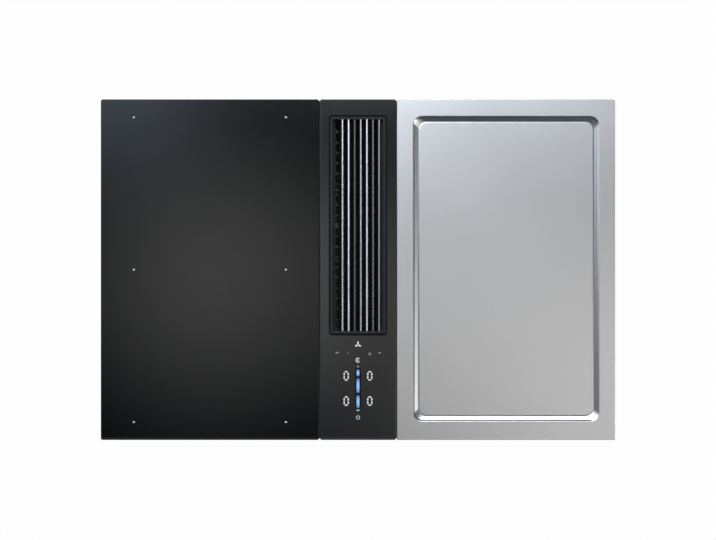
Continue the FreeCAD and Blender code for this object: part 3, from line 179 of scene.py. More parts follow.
# %% [markdown]
# ## Turning a mesh into a piece
# New pieces are shaped in bmesh, which works on bare points, edges and faces. When the
# shape is done it becomes an object that rides on a body of the frame, names its
# finish, and hides the solid that it stands for. Normals are recalculated once, so that
# all faces point outwards, and edges sharper than a set angle stay crisp.

# %% Piece helper
WELD_DISTANCE = mm(0.001)


def new_object(bm, name, material):
    """Object in the scene from a finished bmesh."""
    mesh = bpy.data.meshes.new(name)
    bm.to_mesh(mesh)
    bm.free()
    mesh.materials.append(material)
    made = bpy.data.objects.new(name, mesh)
    bpy.context.scene.collection.objects.link(made)
    return made


def make_piece(bm, name, material, body, stands_for=(), crease=20):
    """Piece from a bmesh; crease is the angle in degrees above which edges stay sharp."""
    bmesh.ops.remove_doubles(bm, verts=bm.verts, dist=WELD_DISTANCE)
    bmesh.ops.recalc_face_normals(bm, faces=bm.faces)
    for face in bm.faces:
        face.smooth = True
    for edge in bm.edges:
        edge.smooth = not (len(edge.link_faces) == 2 and edge.calc_face_angle(0) > math.radians(crease))
    piece = new_object(bm, name, material)
    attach(piece, body)
    if stands_for:
        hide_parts(*stands_for)
    print(name, len(piece.data.polygons), "faces")
    return piece


# %% [markdown]
# ## Rounded rectangles, drawn out like sections
# Most of this cooktop is rounded rectangles: panes, slot, groove, frame. A modeller
# lofts such a form from its sections. Here the first section starts as a plane with
# one face whose four corners are bevelled into arcs. Its outline is then extruded
# again and again, and after each extrusion the new points are moved onto the next
# section: each keeps its direction from its corner's centre, so the walls come out as
# neat four-sided faces.

# %% Section helpers
CORNER_STEPS = 8


def faces_of(verts):
    """All faces that touch the given points."""
    return list({face for vert in verts for face in vert.link_faces})


def round_off(bm, parts, radius, steps, affect="EDGES", clamp=True):
    """Bevel edges or corners into arcs; returns the points that this makes."""
    return bmesh.ops.bevel(bm, geom=parts, offset=radius, offset_type="OFFSET", segments=steps, profile=0.5,
                           affect=affect, material=-1, clamp_overlap=clamp)["verts"]


def first_section(bm, x0, x1, y0, y1, z, radius, capped):
    """Outline of a flat rounded rectangle; its face stays only where the form is capped."""
    place = Matrix.Translation(((x0 + x1) / 2, (y0 + y1) / 2, z)) @ Matrix.Diagonal((x1 - x0, y1 - y0, 1, 1))
    corners = bmesh.ops.create_grid(bm, x_segments=1, y_segments=1, size=0.5, matrix=place)["verts"]
    faces = faces_of(round_off(bm, corners, radius, CORNER_STEPS, "VERTICES", clamp=False))
    outline = list({edge for face in faces for edge in face.edges})
    if not capped:
        bmesh.ops.delete(bm, geom=faces, context="FACES_ONLY")
    return outline


def inset_section(low, high, inset, z, corner):
    """Section of a box's outline, moved inwards by inset, or outwards when that is negative."""
    return (low[0] + inset, high[0] - inset, low[1] + inset, high[1] - inset, z, corner)


def corner_centre(section, right, back):
    """Centre of one corner's arc of a section (x0, x1, y0, y1, z, corner radius)."""
    x0, x1, y0, y1, _, radius = section
    return Vector((x1 - radius if right else x0 + radius, y1 - radius if back else y0 + radius))


def next_section(bm, outline, old, new):
    """Extrude an outline and move its points from one rounded rectangle onto the next."""
    made = bmesh.ops.extrude_edge_only(bm, edges=outline)["geom"]
    old_x, old_y = (old[0] + old[1]) / 2, (old[2] + old[3]) / 2
    for vert in [v for v in made if isinstance(v, bmesh.types.BMVert)]:
        right = vert.co.x > old_x
        back = vert.co.y > old_y
        from_centre = vert.co.xy - corner_centre(old, right, back)
        place = corner_centre(new, right, back) + from_centre * (new[5] / old[5])
        vert.co = (place.x, place.y, new[4])
    return [e for e in made if isinstance(e, bmesh.types.BMEdge)]


def loft(bm, sections, closed=False):
    """Draw out sections (x0, x1, y0, y1, z, corner radius); closed joins the last to the first."""
    outline = first_section(bm, *sections[0], capped=not closed)
    path = sections + sections[:1] if closed else sections
    for old, new in zip(path, path[1:]):
        outline = next_section(bm, outline, old, new)
    if not closed:
        bmesh.ops.contextual_create(bm, geom=outline)


# %% [markdown]
# ## Black glass ceramic
# The pane is a glass ceramic tinted so dark that nothing under it shows. Its surface is
# rolled and polished, so almost all that the eye gets from it is a clear reflection of
# the room over a near black body. A dielectric shader with a black base does this. A
# faint waviness, some tens of millimetres long, and a trace of dust and wiping keep
# that reflection from being perfect. The centre pane carries a hard coat over its
# controls, which mirrors a little more and has a slightly lighter body.

# %% Black glass
def black_glass(name, body_colour, light_body_colour, index):
    """Polished black glass ceramic: darkest and lightest tone of its body, and refractive index."""
    material, tree, shader, place = new_finish(name, body_colour, 0.06)
    mottle(tree, shader, grain(tree, place, 90), body_colour, light_body_colour)
    vary_roughness(tree, shader, grain(tree, place, 14, 4), 0.05, 0.09)
    emboss(tree, shader, grain(tree, place, 60, 1), 0.004)
    shader.inputs["IOR"].default_value = index
    return material


zone_glass = black_glass("polished_black_glass_ceramic", "#050506", "#08080A", 1.5)
control_glass = black_glass("hard_coated_control_glass", "#1B1B1C", "#1E1E20", 1.75)
print("glass finishes ready")

# %% [markdown]
# ## The induction pane
# The left pane is 5 mm glass with ground edges, and its front edge has a facet 4 mm
# wide and 2 mm deep, where a pan handle would otherwise chip it. It is lofted from
# rounded outlines: the underside, the side, and small steps that round the top edge. A
# slanted cutting plane then takes the facet off the front, and the cut is closed again
# with a face.

# %% Induction pane
FACET_WIDTH = mm(4.0)
FACET_DROP = mm(2.0)
EDGE_ROUND = mm(0.6)
EDGE_STEPS = 6
PANE_CORNER = mm(3.0)
SHADING_MARGIN = mm(0.2)


def rounded_slab(low, high, corner, edge):
    """Sections of a slab whose top edge is rounded, from bottom to top.

    The last one lies just inside the edge, so that the smooth shading of the edge ends there.
    """
    sections = [inset_section(low, high, 0, low[2], corner)]
    for step in range(EDGE_STEPS + 1):
        turn = math.pi / 2 * step / EDGE_STEPS
        inset = edge * (1 - math.cos(turn))
        z = high[2] - edge * (1 - math.sin(turn))
        sections.append(inset_section(low, high, inset, z, corner - inset))
    inset = edge + SHADING_MARGIN
    sections.append(inset_section(low, high, inset, high[2], corner - inset))
    return sections


def grind_front_facet(bm, low, high):
    """Cut the slanted facet off the front top edge and close the cut."""
    normal = Vector((0, -FACET_DROP, FACET_WIDTH)).normalized()
    point = Vector((0, low[1] + FACET_WIDTH, high[2]))
    cut = bmesh.ops.bisect_plane(bm, geom=bm.verts[:] + bm.edges[:] + bm.faces[:], plane_co=point,
                                 plane_no=normal, clear_outer=True, dist=mm(0.0001))
    rim = [e for e in cut["geom_cut"] if isinstance(e, bmesh.types.BMEdge)]
    bmesh.ops.holes_fill(bm, edges=rim)


def induction_pane():
    """Left glass pane with rounded edges and a front facet."""
    bm = bmesh.new()
    loft(bm, rounded_slab(glass_low, glass_high, PANE_CORNER, EDGE_ROUND))
    grind_front_facet(bm, glass_low, glass_high)
    make_piece(bm, "induction_pane", zone_glass, "hob", ["induction_glass"])


induction_pane()

# %% [markdown]
# ## The centre pane and its slot
# The centre pane is the same glass with a long slot for the grille. It needs an inner
# wall too, so the loft goes on from the outer edge across the top to the slot, down the
# slot's wall, and back across the underside to where it began.

# %% Centre pane
GRILLE_GAP = mm(1.6)
SLOT_CORNER = mm(5.0)


def centre_pane():
    """Narrow glass pane with the slot through it."""
    bm = bmesh.new()
    sections = rounded_slab(centre_low, centre_high, PANE_CORNER, EDGE_ROUND)
    for reach, z in ((EDGE_ROUND + SHADING_MARGIN, deck_top), (EDGE_ROUND, deck_top),
                     (0, deck_top - EDGE_ROUND), (0, centre_low[2])):
        sections.append(inset_section(slot_low, slot_high, -GRILLE_GAP - reach, z, SLOT_CORNER + reach))
    loft(bm, sections, closed=True)
    grind_front_facet(bm, centre_low, centre_high)
    make_piece(bm, "centre_pane", control_glass, "hob", ["downdraft_glass"])


centre_pane()

# %% [markdown]
# ## Satin stainless steel
# The griddle plate is stainless steel sheet, finely brushed from front to back and then
# pressed. A brushed metal spreads a reflection mostly across its scratches, which the
# shader's anisotropy does. It needs to know the scratches' direction, so the plate gets
# a map of its own whose first axis runs across them. Real scratches are a fraction of a
# millimetre wide. They are drawn 1.2 mm wide here, because finer ones can't show at this
# size. The colour is that of steel: a light, neutral grey.

# %% Satin steel
BRUSHING_MAP = "brushing"


def satin_steel():
    """Finely brushed stainless steel sheet."""
    material, tree, shader, place = new_finish("satin_stainless_steel", "#D3D2D3", 0.3, 1.0)
    streaks = grain(tree, place, 1.2, 3, stretch=(1, 120, 1))
    clouds = grain(tree, place, 160, 1)
    mottle(tree, shader, streaks, "#CFCECF", "#D8D7D7")
    vary_roughness(tree, shader, clouds, 0.21, 0.25)
    emboss(tree, shader, streaks, 0.004)
    shader.inputs["Anisotropic"].default_value = 0.4
    brushing = add_node(tree, "ShaderNodeTangent", direction_type="UV_MAP", uv_map=BRUSHING_MAP)
    tree.links.new(brushing.outputs[0], shader.inputs["Tangent"])
    return material


def mark_brushing(bm):
    """UV map whose first axis runs across the scratches, the way that they spread a highlight."""
    brushing = bm.loops.layers.uv.new(BRUSHING_MAP)
    for face in bm.faces:
        for corner in face.loops:
            corner[brushing].uv = corner.vert.co.xy


griddle_steel = satin_steel()
print("steel ready")

# %% [markdown]
# ## The griddle plate
# A drip groove is pressed into the sheet all round the cooking surface. A short wall
# falls from the rim, a long shallow ramp follows it down to 2.45 mm, and a steep step
# on the inner side rises to the cooking surface, which lies 0.6 mm below the rim. The
# press rounds each bend by about a third of a millimetre, so the cross section is a line
# with bends, averaged over a short window. Each bend is a share of the groove's width
# and a depth. The plate is one loft: outer wall, rounded edge, flat rim, the sections of
# the groove, and a cap for the cooking surface. One flat section more on each side of
# the groove ends the smooth shading there.

# %% Griddle plate
GROOVE_X = mm(142.5)
GROOVE_FRONT = mm(-232.0)
GROOVE_BACK = mm(235.0)
GROOVE_WIDTH = mm(11.4)
GROOVE_BENDS = ((0.04, 0.0), (0.25, mm(1.05)), (0.75, mm(2.45)), (0.84, mm(0.6)))
BEND_WINDOW = 0.03
GROOVE_CORNER = mm(14.0)
SURFACE_CORNER = mm(12.0)
PLATE_CORNER = mm(4.0)
GROOVE_SECTIONS = 40


def bent_line(share):
    """Depth of the sharply bent cross section at a share of the groove's width."""
    depth = 0.0
    for (start, start_depth), (end, end_depth) in zip(GROOVE_BENDS, GROOVE_BENDS[1:]):
        along = min(max((share - start) / (end - start), 0.0), 1.0)
        depth += along * (end_depth - start_depth)
    return depth


def groove_drop(share):
    """Depth below the rim with rounded bends: the bent line averaged over a short window."""
    offsets = [BEND_WINDOW * step / 4 for step in range(-4, 5)]
    return sum(bent_line(share + offset) for offset in offsets) / len(offsets)


def pressed_plate():
    """Steel plate with its pressed groove."""
    bm = bmesh.new()
    sections = rounded_slab(plate_low, plate_high, PLATE_CORNER, EDGE_ROUND)
    groove_low = (steel_middle - GROOVE_X, GROOVE_FRONT)
    groove_high = (steel_middle + GROOVE_X, GROOVE_BACK)
    for step in range(-1, GROOVE_SECTIONS + 2):
        share = step / GROOVE_SECTIONS
        z = plate_high[2] - groove_drop(share)
        corner = GROOVE_CORNER + (SURFACE_CORNER - GROOVE_CORNER) * share
        sections.append(inset_section(groove_low, groove_high, GROOVE_WIDTH * share, z, corner))
    loft(bm, sections)
    mark_brushing(bm)
    make_piece(bm, "pressed_griddle_plate", griddle_steel, "hob", ["griddle_plate"])


pressed_plate()

# %% [markdown]
# ## Satin black coating
# The grille is steel with a baked satin black powder coat. Powder melts into a skin
# with a very fine orange peel, so its gloss is broad and soft. Only the long upper
# edges of the slats, which hands and cloths rub, are ground bright. How bright that
# edge shows differs from slat to slat, and that difference is painted highlight.

# %% Satin black coating and bright slat edges with painted highlights
def satin_black_coat():
    """Baked powder coat with fine orange peel."""
    material, tree, shader, place = new_finish("satin_black_powder_coat", "#17181A", 0.42)
    peel = grain(tree, place, 1.4, 2)
    mottle(tree, shader, grain(tree, place, 25), "#131416", "#1C1D20")
    vary_roughness(tree, shader, peel, 0.36, 0.48)
    emboss(tree, shader, peel, 0.02)
    shader.inputs["Specular IOR Level"].default_value = 0.28
    return material


def ground_steel_edge_painted_highlight():
    """Bare steel, ground along the edge; its brightness from slat to slat is painted highlight."""
    material, tree, shader, place = new_finish("ground_steel_edge_painted_highlight", "#D8DADD", 0.3, 1.0)
    # Painted highlight: each slat's number sets the edge's base colour, from near black to near white.
    tone = add_node(tree, "ShaderNodeAttribute", attribute_name="painted_highlight_tone").outputs["Fac"]
    mottle(tree, shader, tone, "#1B1C1E", "#F2F3F5")
    vary_roughness(tree, shader, grain(tree, place, 0.8, 2, stretch=(1, 60, 1)), 0.25, 0.4)
    return material


black_coat = satin_black_coat()
slat_edge_steel_painted_highlight = ground_steel_edge_painted_highlight()
print("grille finishes ready")

# %% [markdown]
# ## The grille's frame
# The frame is a flat bar bent round the slot, with two cross bars under the slats. The
# ring is lofted from outlines inside and outside, with a small round on its upper
# edges, and each cross bar starts as a cube that is scaled to size and bevelled.

# %% Grille frame
FRAME_STRIP = mm(4.5)
CROSS_BARS_Y = (mm(121.5), mm(13.9))
CROSS_BAR_WIDTH = mm(4.0)
CROSS_BAR_HEIGHT = mm(3.0)
CROSS_BAR_ROUND = mm(0.4)
FRAME_ROUND = mm(0.8)
FRAME_INNER_CORNER = mm(1.5)


def bevelled_block(bm, x0, x1, y0, y1, z0, z1, edge):
    """Block with all its edges rounded."""
    place = Matrix.Translation(((x0 + x1) / 2, (y0 + y1) / 2, (z0 + z1) / 2))
    place = place @ Matrix.Diagonal((x1 - x0, y1 - y0, z1 - z0, 1))
    verts = bmesh.ops.create_cube(bm, size=1.0, matrix=place)["verts"]
    edges = list({e for v in verts for e in v.link_edges})
    round_off(bm, edges, edge, 2)


def grille_ring(bm):
    """Ring of flat bar with rounded upper edges."""
    corner = SLOT_CORNER - GRILLE_GAP
    outer = []
    inner = []
    for step in range(EDGE_STEPS + 1):
        turn = math.pi / 2 * step / EDGE_STEPS
        inset = FRAME_ROUND * (1 - math.cos(turn))
        z = slot_high[2] - FRAME_ROUND * (1 - math.sin(turn))
        outer.append(inset_section(slot_low, slot_high, inset, z, corner))
        inner.append(inset_section(slot_low, slot_high, FRAME_STRIP - inset, z, FRAME_INNER_CORNER + inset))
    outer_foot = inset_section(slot_low, slot_high, 0, slot_low[2], corner)
    inner_foot = inset_section(slot_low, slot_high, FRAME_STRIP, slot_low[2], FRAME_INNER_CORNER)
    loft(bm, [outer_foot] + outer + inner[::-1] + [inner_foot], closed=True)


def grille_frame():
    """Frame of the lift-off grille with its two cross bars."""
    bm = bmesh.new()
    grille_ring(bm)
    for bar_y in CROSS_BARS_Y:
        bevelled_block(bm, slot_low[0] + FRAME_STRIP, slot_high[0] - FRAME_STRIP,
                       bar_y - CROSS_BAR_WIDTH / 2, bar_y + CROSS_BAR_WIDTH / 2,
                       slot_low[2], slot_low[2] + CROSS_BAR_HEIGHT, CROSS_BAR_ROUND)
    make_piece(bm, "grille_surround", black_coat, "grille", ["grille_frame"])


grille_frame()

# %% [markdown]
# ## The slats
# Seven slats lean to the right. Each one starts as a cube stretched to the slat's
# length, sheared sideways so that it leans, and rounded along its edges. The upper face
# of each, which faces upwards by more than a set share, is then given the bright ground
# steel. A number stored on its faces sets how bright that edge shows: a painted
# highlight, different for each slat.

# %% Slats
SLAT_PITCH = mm(9.3)
SLAT_SHIFT = mm(1.8)
SLAT_THICKNESS = mm(2.2)
SLAT_LEAN = mm(5.4)
SLAT_HALF_LENGTH = mm(161.4)
SLAT_BOTTOM = mm(-1.5)
SLAT_ROUND = mm(0.45)
BRIGHT_FACING = 0.55
SLAT_CREASE = 40
# Painted highlight of each slat: how bright its steel edge shows, one number per slat.
SLAT_PAINTED_HIGHLIGHTS = (0.62, 0.85, 0.12, 0.5, 0.8, 0.18, 0.33)


def slat(bm, middle_x, tone, painted_highlight_layer):
    """One leaning slat with rounded edges and a bright top; tone is its painted highlight."""
    top = slot_high[2]
    height = top - SLAT_BOTTOM
    place = Matrix.Translation((middle_x, slot_middle_y, (top + SLAT_BOTTOM) / 2))
    lean = Matrix.Shear("XY", 4, (SLAT_LEAN / height, 0.0))
    size = Matrix.Diagonal((SLAT_THICKNESS, 2 * SLAT_HALF_LENGTH, height, 1))
    verts = bmesh.ops.create_cube(bm, size=1.0, matrix=place @ lean @ size)["verts"]
    edges = {e for v in verts for e in v.link_edges}
    long_edges = [e for e in edges if abs(e.verts[0].co.y - e.verts[1].co.y) > SLAT_HALF_LENGTH]
    for face in faces_of(round_off(bm, long_edges, SLAT_ROUND, 3)):
        # Each face carries the slat's painted highlight, the brightness of its steel edge.
        face[painted_highlight_layer] = tone
        face.material_index = 1 if face.normal.z > BRIGHT_FACING else 0


def slats():
    """The row of slats."""
    bm = bmesh.new()
    painted_highlight_layer = bm.faces.layers.float.new("painted_highlight_tone")
    middle = (len(SLAT_PAINTED_HIGHLIGHTS) - 1) / 2
    for index, tone in enumerate(SLAT_PAINTED_HIGHLIGHTS):
        slat(bm, (index - middle) * SLAT_PITCH + SLAT_SHIFT, tone, painted_highlight_layer)
    row = make_piece(bm, "grille_slats", black_coat, "grille", ["grille_blades"],
                     crease=SLAT_CREASE)
    row.data.materials.append(slat_edge_steel_painted_highlight)


slats()

# %% [markdown]
# ## White printed marks
# The marks on the panes are screen-printed enamel, fired onto the glass: a flat, matt,
# light grey layer a few hundredths of a millimetre thick. Six small dots mark where
# pans belong. Each is a disc with its own thickness, laid on the glass.

# %% Print finish and helper
PRINT_THICKNESS = mm(0.03)


def printed_enamel():
    """Matt grey fired enamel with a faint screen texture."""
    material, tree, shader, place = new_finish("fired_grey_enamel_print", "#B9BBBD", 0.6)
    mottle(tree, shader, grain(tree, place, 0.6), "#B9BBBD", "#F4F5F6")
    emboss(tree, shader, grain(tree, place, 0.3), 0.005)
    return material


def raise_print(bm, flat_faces):
    """Give flat faces on the glass the thickness of a print."""
    raised = bmesh.ops.extrude_face_region(bm, geom=flat_faces)["geom"]
    top = [v for v in raised if isinstance(v, bmesh.types.BMVert)]
    bmesh.ops.translate(bm, verts=top, vec=(0, 0, PRINT_THICKNESS))


def disc(bm, x, y, radius_x, radius_y, points=20):
    """Flat round or oval face on the glass."""
    place = Matrix.Translation((x, y, deck_top)) @ Matrix.Diagonal((radius_x, radius_y, 1, 1))
    made = bmesh.ops.create_circle(bm, cap_ends=True, segments=points, radius=1.0, matrix=place)["verts"]
    return faces_of(made)


def bar(bm, x, y, width, length, nip=0.0, z=deck_top):
    """Flat bar at a place; nip is how far its four corners are rounded off."""
    place = Matrix.Translation((x, y, z)) @ Matrix.Diagonal((width, length, 1, 1))
    made = bmesh.ops.create_grid(bm, x_segments=1, y_segments=1, size=0.5, matrix=place)["verts"]
    if nip:
        made = round_off(bm, made, nip, 3, "VERTICES")
    return faces_of(made)


grey_print = printed_enamel()
print("print finish ready")

# %% Zone marks
ZONE_MARK_X = mm(116.0)
ZONE_MARK_Y = mm(232.5)
ZONE_MARK_RADII = (mm(1.7), mm(1.3))


def zone_marks():
    """Six dots that bound the two cooking zones."""
    bm = bmesh.new()
    faces = []
    for side in (-1, 1):
        for row in (-1, 0, 1):
            faces += disc(bm, left_middle + side * ZONE_MARK_X, row * ZONE_MARK_Y, *ZONE_MARK_RADII)
    raise_print(bm, faces)
    make_piece(bm, "zone_marks", grey_print, "hob")


zone_marks()

# %% [markdown]
# ## Lit controls
# The digits, icons and slider shine up through clear windows in the black coat of the
# glass. Lit things are made as thin windows on the glass with a glowing finish: a base
# colour plus emission. The glow stays below full white, as on the real panel, where a
# diffuser spreads the light of small lamps. A slider window has one lamp under its
# middle, so its light fades towards both ends. A map on it runs from -1 at one end to 1
# at the other, and the light falls with the square of that number.

# %% Glow finish
WINDOW_MAP = "window"


def fade_to_ends(tree):
    """Pattern that is 1 in the middle of a window and falls to 0 at both ends."""
    window_place = add_node(tree, "ShaderNodeUVMap", uv_map=WINDOW_MAP).outputs[0]
    along = add_node(tree, "ShaderNodeSeparateXYZ", {0: window_place}).outputs[1]
    return calculate(tree, "SUBTRACT", 1.0, calculate(tree, "MULTIPLY", along, along))


def lit_window(name, colour, strength, fades=False, darkest=0.85, body="#202226", mirroring=0.5):
    """Diffused light behind a window in the glass; darkest is the dimmest share of its colour."""
    material, tree, shader, place = new_finish(name, colour, 0.35)
    full = linear(colour)
    dim = [channel * darkest for channel in full[:3]] + [1.0]
    glow = fade_to_ends(tree) if fades else grain(tree, place, 3.5)
    tree.links.new(blend(tree, glow, dim, full), shader.inputs["Emission Color"])
    shader.inputs["Emission Strength"].default_value = strength
    shader.inputs["Base Color"].default_value = linear(body)
    shader.inputs["Specular IOR Level"].default_value = mirroring
    return material


white_light = lit_window("white_display_light", "#F4F6F8", 0.85)
dim_light = lit_window("dim_icon_light", "#C4C6C8", 0.6)
blue_light = lit_window("blue_slider_light", "#86C0FF", 0.95, fades=True, darkest=0.12)
pale_blue_light = lit_window("pale_blue_slider_light", "#CFE4F8", 0.75)
deep_blue_light = lit_window("deep_blue_slider_glow", "#0A2A58", 0.12, darkest=0.6, body="#06080D",
                             mirroring=0.12)
print("lit finishes ready")

# %% [markdown]
# A digit is made of straight bars with nipped ends, as on every clock. A nought lights
# six of the seven, and a small gap stays between neighbouring bars.

# %% Digits
DIGIT_WIDTH = mm(6.2)
DIGIT_HEIGHT = mm(12.4)
SEGMENT_WIDTH = mm(1.9)
SEGMENT_GAP = mm(1.1)
SEGMENT_NIP = 0.3
DIGIT_COLUMNS = (mm(-18), mm(18))
DIGIT_ROWS = (mm(-162), mm(-200.5))


def nought(bm, x, y):
    """Six bars of a nought."""
    half_w = DIGIT_WIDTH / 2
    half_h = DIGIT_HEIGHT / 2
    upright = half_h - SEGMENT_GAP - SEGMENT_WIDTH / 2
    level = DIGIT_WIDTH - SEGMENT_WIDTH
    nip = SEGMENT_WIDTH * SEGMENT_NIP
    faces = []
    for sy in (-1, 1):
        faces += bar(bm, x, y + sy * half_h, level, SEGMENT_WIDTH, nip)
        for sx in (-1, 1):
            upright_y = y + sy * (SEGMENT_GAP + upright) / 2
            faces += bar(bm, x + sx * half_w, upright_y, SEGMENT_WIDTH, upright, nip)
    return faces


def digits():
    """Four noughts beside the slider."""
    bm = bmesh.new()
    faces = []
    for y in DIGIT_ROWS:
        for x in DIGIT_COLUMNS:
            faces += nought(bm, x, y)
    raise_print(bm, faces)
    make_piece(bm, "level_digits", white_light, "hob")


digits()

# %% [markdown]
# The icons are generic: a fan with three blades, a ring with a dash for the timer, four
# small function marks and the ring with a bar for power. Fan blades are discs moved off
# the centre and turned three times; rings are spun from a short edge.

# %% Icons
FAN_ICON_Y = mm(-114.5)
BLADE_REACH = mm(3.0)
FUNCTION_ICONS_Y = mm(-127.0)
TIMER_ICON_Y = mm(-138.0)
TICK_Y = mm(-148.0)
POWER_ICON_Y = mm(-225.5)
LINE_WIDTH = mm(1.0)


def ring(bm, x, y, radius, width, start, sweep, steps):
    """Flat arc on the glass: a short edge spun about the ring's centre; angles in degrees."""
    centre = Vector((x, y, deck_top))
    inner = bm.verts.new((x + radius - width / 2, y, deck_top))
    outer = bm.verts.new((x + radius + width / 2, y, deck_top))
    edge = bm.edges.new((inner, outer))
    begin = Matrix.Rotation(math.radians(start), 3, "Z")
    bmesh.ops.rotate(bm, verts=[inner, outer], cent=centre, matrix=begin)
    before = set(bm.faces)
    bmesh.ops.spin(bm, geom=[inner, outer, edge], cent=centre, axis=(0, 0, 1), angle=math.radians(sweep),
                   steps=steps, use_merge=abs(sweep) >= 360, use_duplicate=False)
    return [f for f in bm.faces if f not in before]


def fan_icon(bm, x, y):
    """Three oval blades round a hub."""
    faces = disc(bm, x, y, mm(1.0), mm(1.0), 12)
    for index in range(3):
        turn = Matrix.Rotation(math.radians(index * 120), 3, "Z")
        blade = disc(bm, x, y, mm(1.25), mm(2.1), 16)
        verts = list({v for f in blade for v in f.verts})
        bmesh.ops.translate(bm, verts=verts, vec=(0, BLADE_REACH, 0))
        bmesh.ops.rotate(bm, verts=verts, cent=(x, y, deck_top), matrix=turn)
        faces += blade
    return faces


def bright_icons():
    """Fan, timer ring with its dash, and the small tick in front of it."""
    bm = bmesh.new()
    faces = fan_icon(bm, 0, FAN_ICON_Y)
    faces += ring(bm, 0, TIMER_ICON_Y, mm(2.9), mm(1.3), 50, 270, 24)
    faces += bar(bm, mm(0.4), TIMER_ICON_Y, LINE_WIDTH, mm(2.6))
    faces += bar(bm, 0, TICK_Y, LINE_WIDTH, mm(2.0))
    raise_print(bm, faces)
    make_piece(bm, "fan_and_timer_icons", white_light, "hob")


def dim_icons():
    """Four small function marks in a row: two joined bars, a thin bar, a ring and a flat bar."""
    bm = bmesh.new()
    y = FUNCTION_ICONS_Y
    faces = bar(bm, mm(-33), y, mm(2.6), mm(1.6), mm(0.4))
    faces += bar(bm, mm(-30), y + mm(0.6), mm(1.6), mm(2.2), mm(0.4))
    faces += bar(bm, mm(-15), y, mm(0.6), mm(3.0))
    faces += ring(bm, mm(18), y - mm(1.5), mm(1.4), mm(0.8), 0, 360, 16)
    faces += bar(bm, mm(33), y, mm(3.6), mm(1.4), mm(0.5))
    raise_print(bm, faces)
    make_piece(bm, "function_icons", dim_light, "hob")


def power_icon():
    """Open ring with a bar."""
    bm = bmesh.new()
    faces = ring(bm, 0, POWER_ICON_Y, mm(2.6), LINE_WIDTH, 125, 290, 24)
    faces += bar(bm, 0, POWER_ICON_Y + mm(2.2), LINE_WIDTH, mm(2.8))
    raise_print(bm, faces)
    make_piece(bm, "power_icon", pale_blue_light, "hob")


bright_icons()
dim_icons()
power_icon()

# %% [markdown]
# ## The slider
# The slider is a row of lit windows over the light guide. Each window is a bar with
# round ends. They lie in a slightly larger, nearly black field with a deep blue glow,
# which is the stray light under the glass. The field is laid down first, and the
# windows are raised a little higher, so that the two never share a surface. A window's
# three numbers are the place of its middle, its length and its width.

# %% Slider
SLIDER_WINDOWS = (
    (mm(-157.5), mm(10.5), mm(4.2)),
    (mm(-177.0), mm(23.0), mm(4.4)),
    (mm(-201.5), mm(20.0), mm(4.4)),
)
FIELD_Y = mm(-182.0)
FIELD_LENGTH = mm(64.0)
FIELD_WIDTH = mm(9.6)
ROUND_END = 0.48
WINDOW_END = 0.45
END_MARK_Y = mm(-214.5)


def mark_window(bm, faces, y, length):
    """Map of a window: -1 at its front end and 1 at its back end."""
    window = bm.loops.layers.uv.verify()
    for face in faces:
        for corner in face.loops:
            corner[window].uv = (0.0, (corner.vert.co.y - y) / (length / 2))


def slider():
    """Blue windows, the dark field that they lie in, and the mark below."""
    bm = bmesh.new()
    raise_print(bm, bar(bm, 0, FIELD_Y, FIELD_WIDTH, FIELD_LENGTH, FIELD_WIDTH * ROUND_END))
    make_piece(bm, "slider_field", deep_blue_light, "hob")
    bm = bmesh.new()
    bm.loops.layers.uv.new(WINDOW_MAP)
    faces = []
    for y, length, width in SLIDER_WINDOWS:
        window = bar(bm, 0, y, width, length, width * WINDOW_END, deck_top + PRINT_THICKNESS)
        mark_window(bm, window, y, length)
        faces += window
    raise_print(bm, faces)
    make_piece(bm, "slider_windows", blue_light, "hob")
    bm = bmesh.new()
    raise_print(bm, bar(bm, 0, END_MARK_Y, mm(4.2), mm(1.8), mm(0.5)))
    make_piece(bm, "slider_end_mark", pale_blue_light, "hob")


slider()

# %% [markdown]
# ## Finishes of the solids that keep their shape
# Under the deck everything is ordinary appliance making: galvanised sheet, moulded
# plastic, copper winding, circuit boards. Each gets its own finish from how it was
# made, and all are set in one table from the frame's own record, which names the
# finish of every node.

# %% Sheet and bar metals
def cell_tone(tree, place, size_mm):
    """Pattern of flat cells, each with its own number from 0 to 1."""
    cells = add_node(tree, "ShaderNodeTexVoronoi", {"Vector": place, "Scale": 1 / mm(size_mm)})
    return add_node(tree, "ShaderNodeSeparateColor", {"Color": cells.outputs["Color"]}).outputs[0]


def galvanised_sheet():
    """Hot-dip galvanised sheet: flat zinc crystals some 8 mm across, each with its own tone."""
    material, tree, shader, place = new_finish("galvanised_steel_sheet", "#A9ACAE", 0.42, 1.0)
    tone = cell_tone(tree, place, 8)
    mottle(tree, shader, tone, "#9A9DA0", "#B8BBBD")
    vary_roughness(tree, shader, tone, 0.34, 0.5)
    emboss(tree, shader, grain(tree, place, 30, 2), 0.05)
    return material


def drawn_steel(name, colour, roughness, streak_mm):
    """Drawn or ground steel with fine streaks."""
    material, tree, shader, place = new_finish(name, colour, roughness, 1.0)
    streaks = grain(tree, place, streak_mm, 3, stretch=(20, 20, 1))
    mottle(tree, shader, grain(tree, place, 12), colour, "#C9CBCD")
    vary_roughness(tree, shader, streaks, roughness - 0.08, roughness + 0.08)
    emboss(tree, shader, streaks, 0.01)
    return material


def zinc_plate():
    """Bright zinc plate with a faint yellow-blue passivation."""
    material, tree, shader, place = new_finish("zinc_plated_steel", "#C6C5BD", 0.3, 1.0)
    mottle(tree, shader, grain(tree, place, 6, 3), "#BFC2C4", "#CFCAB6")
    vary_roughness(tree, shader, grain(tree, place, 2, 3), 0.24, 0.38)
    return material


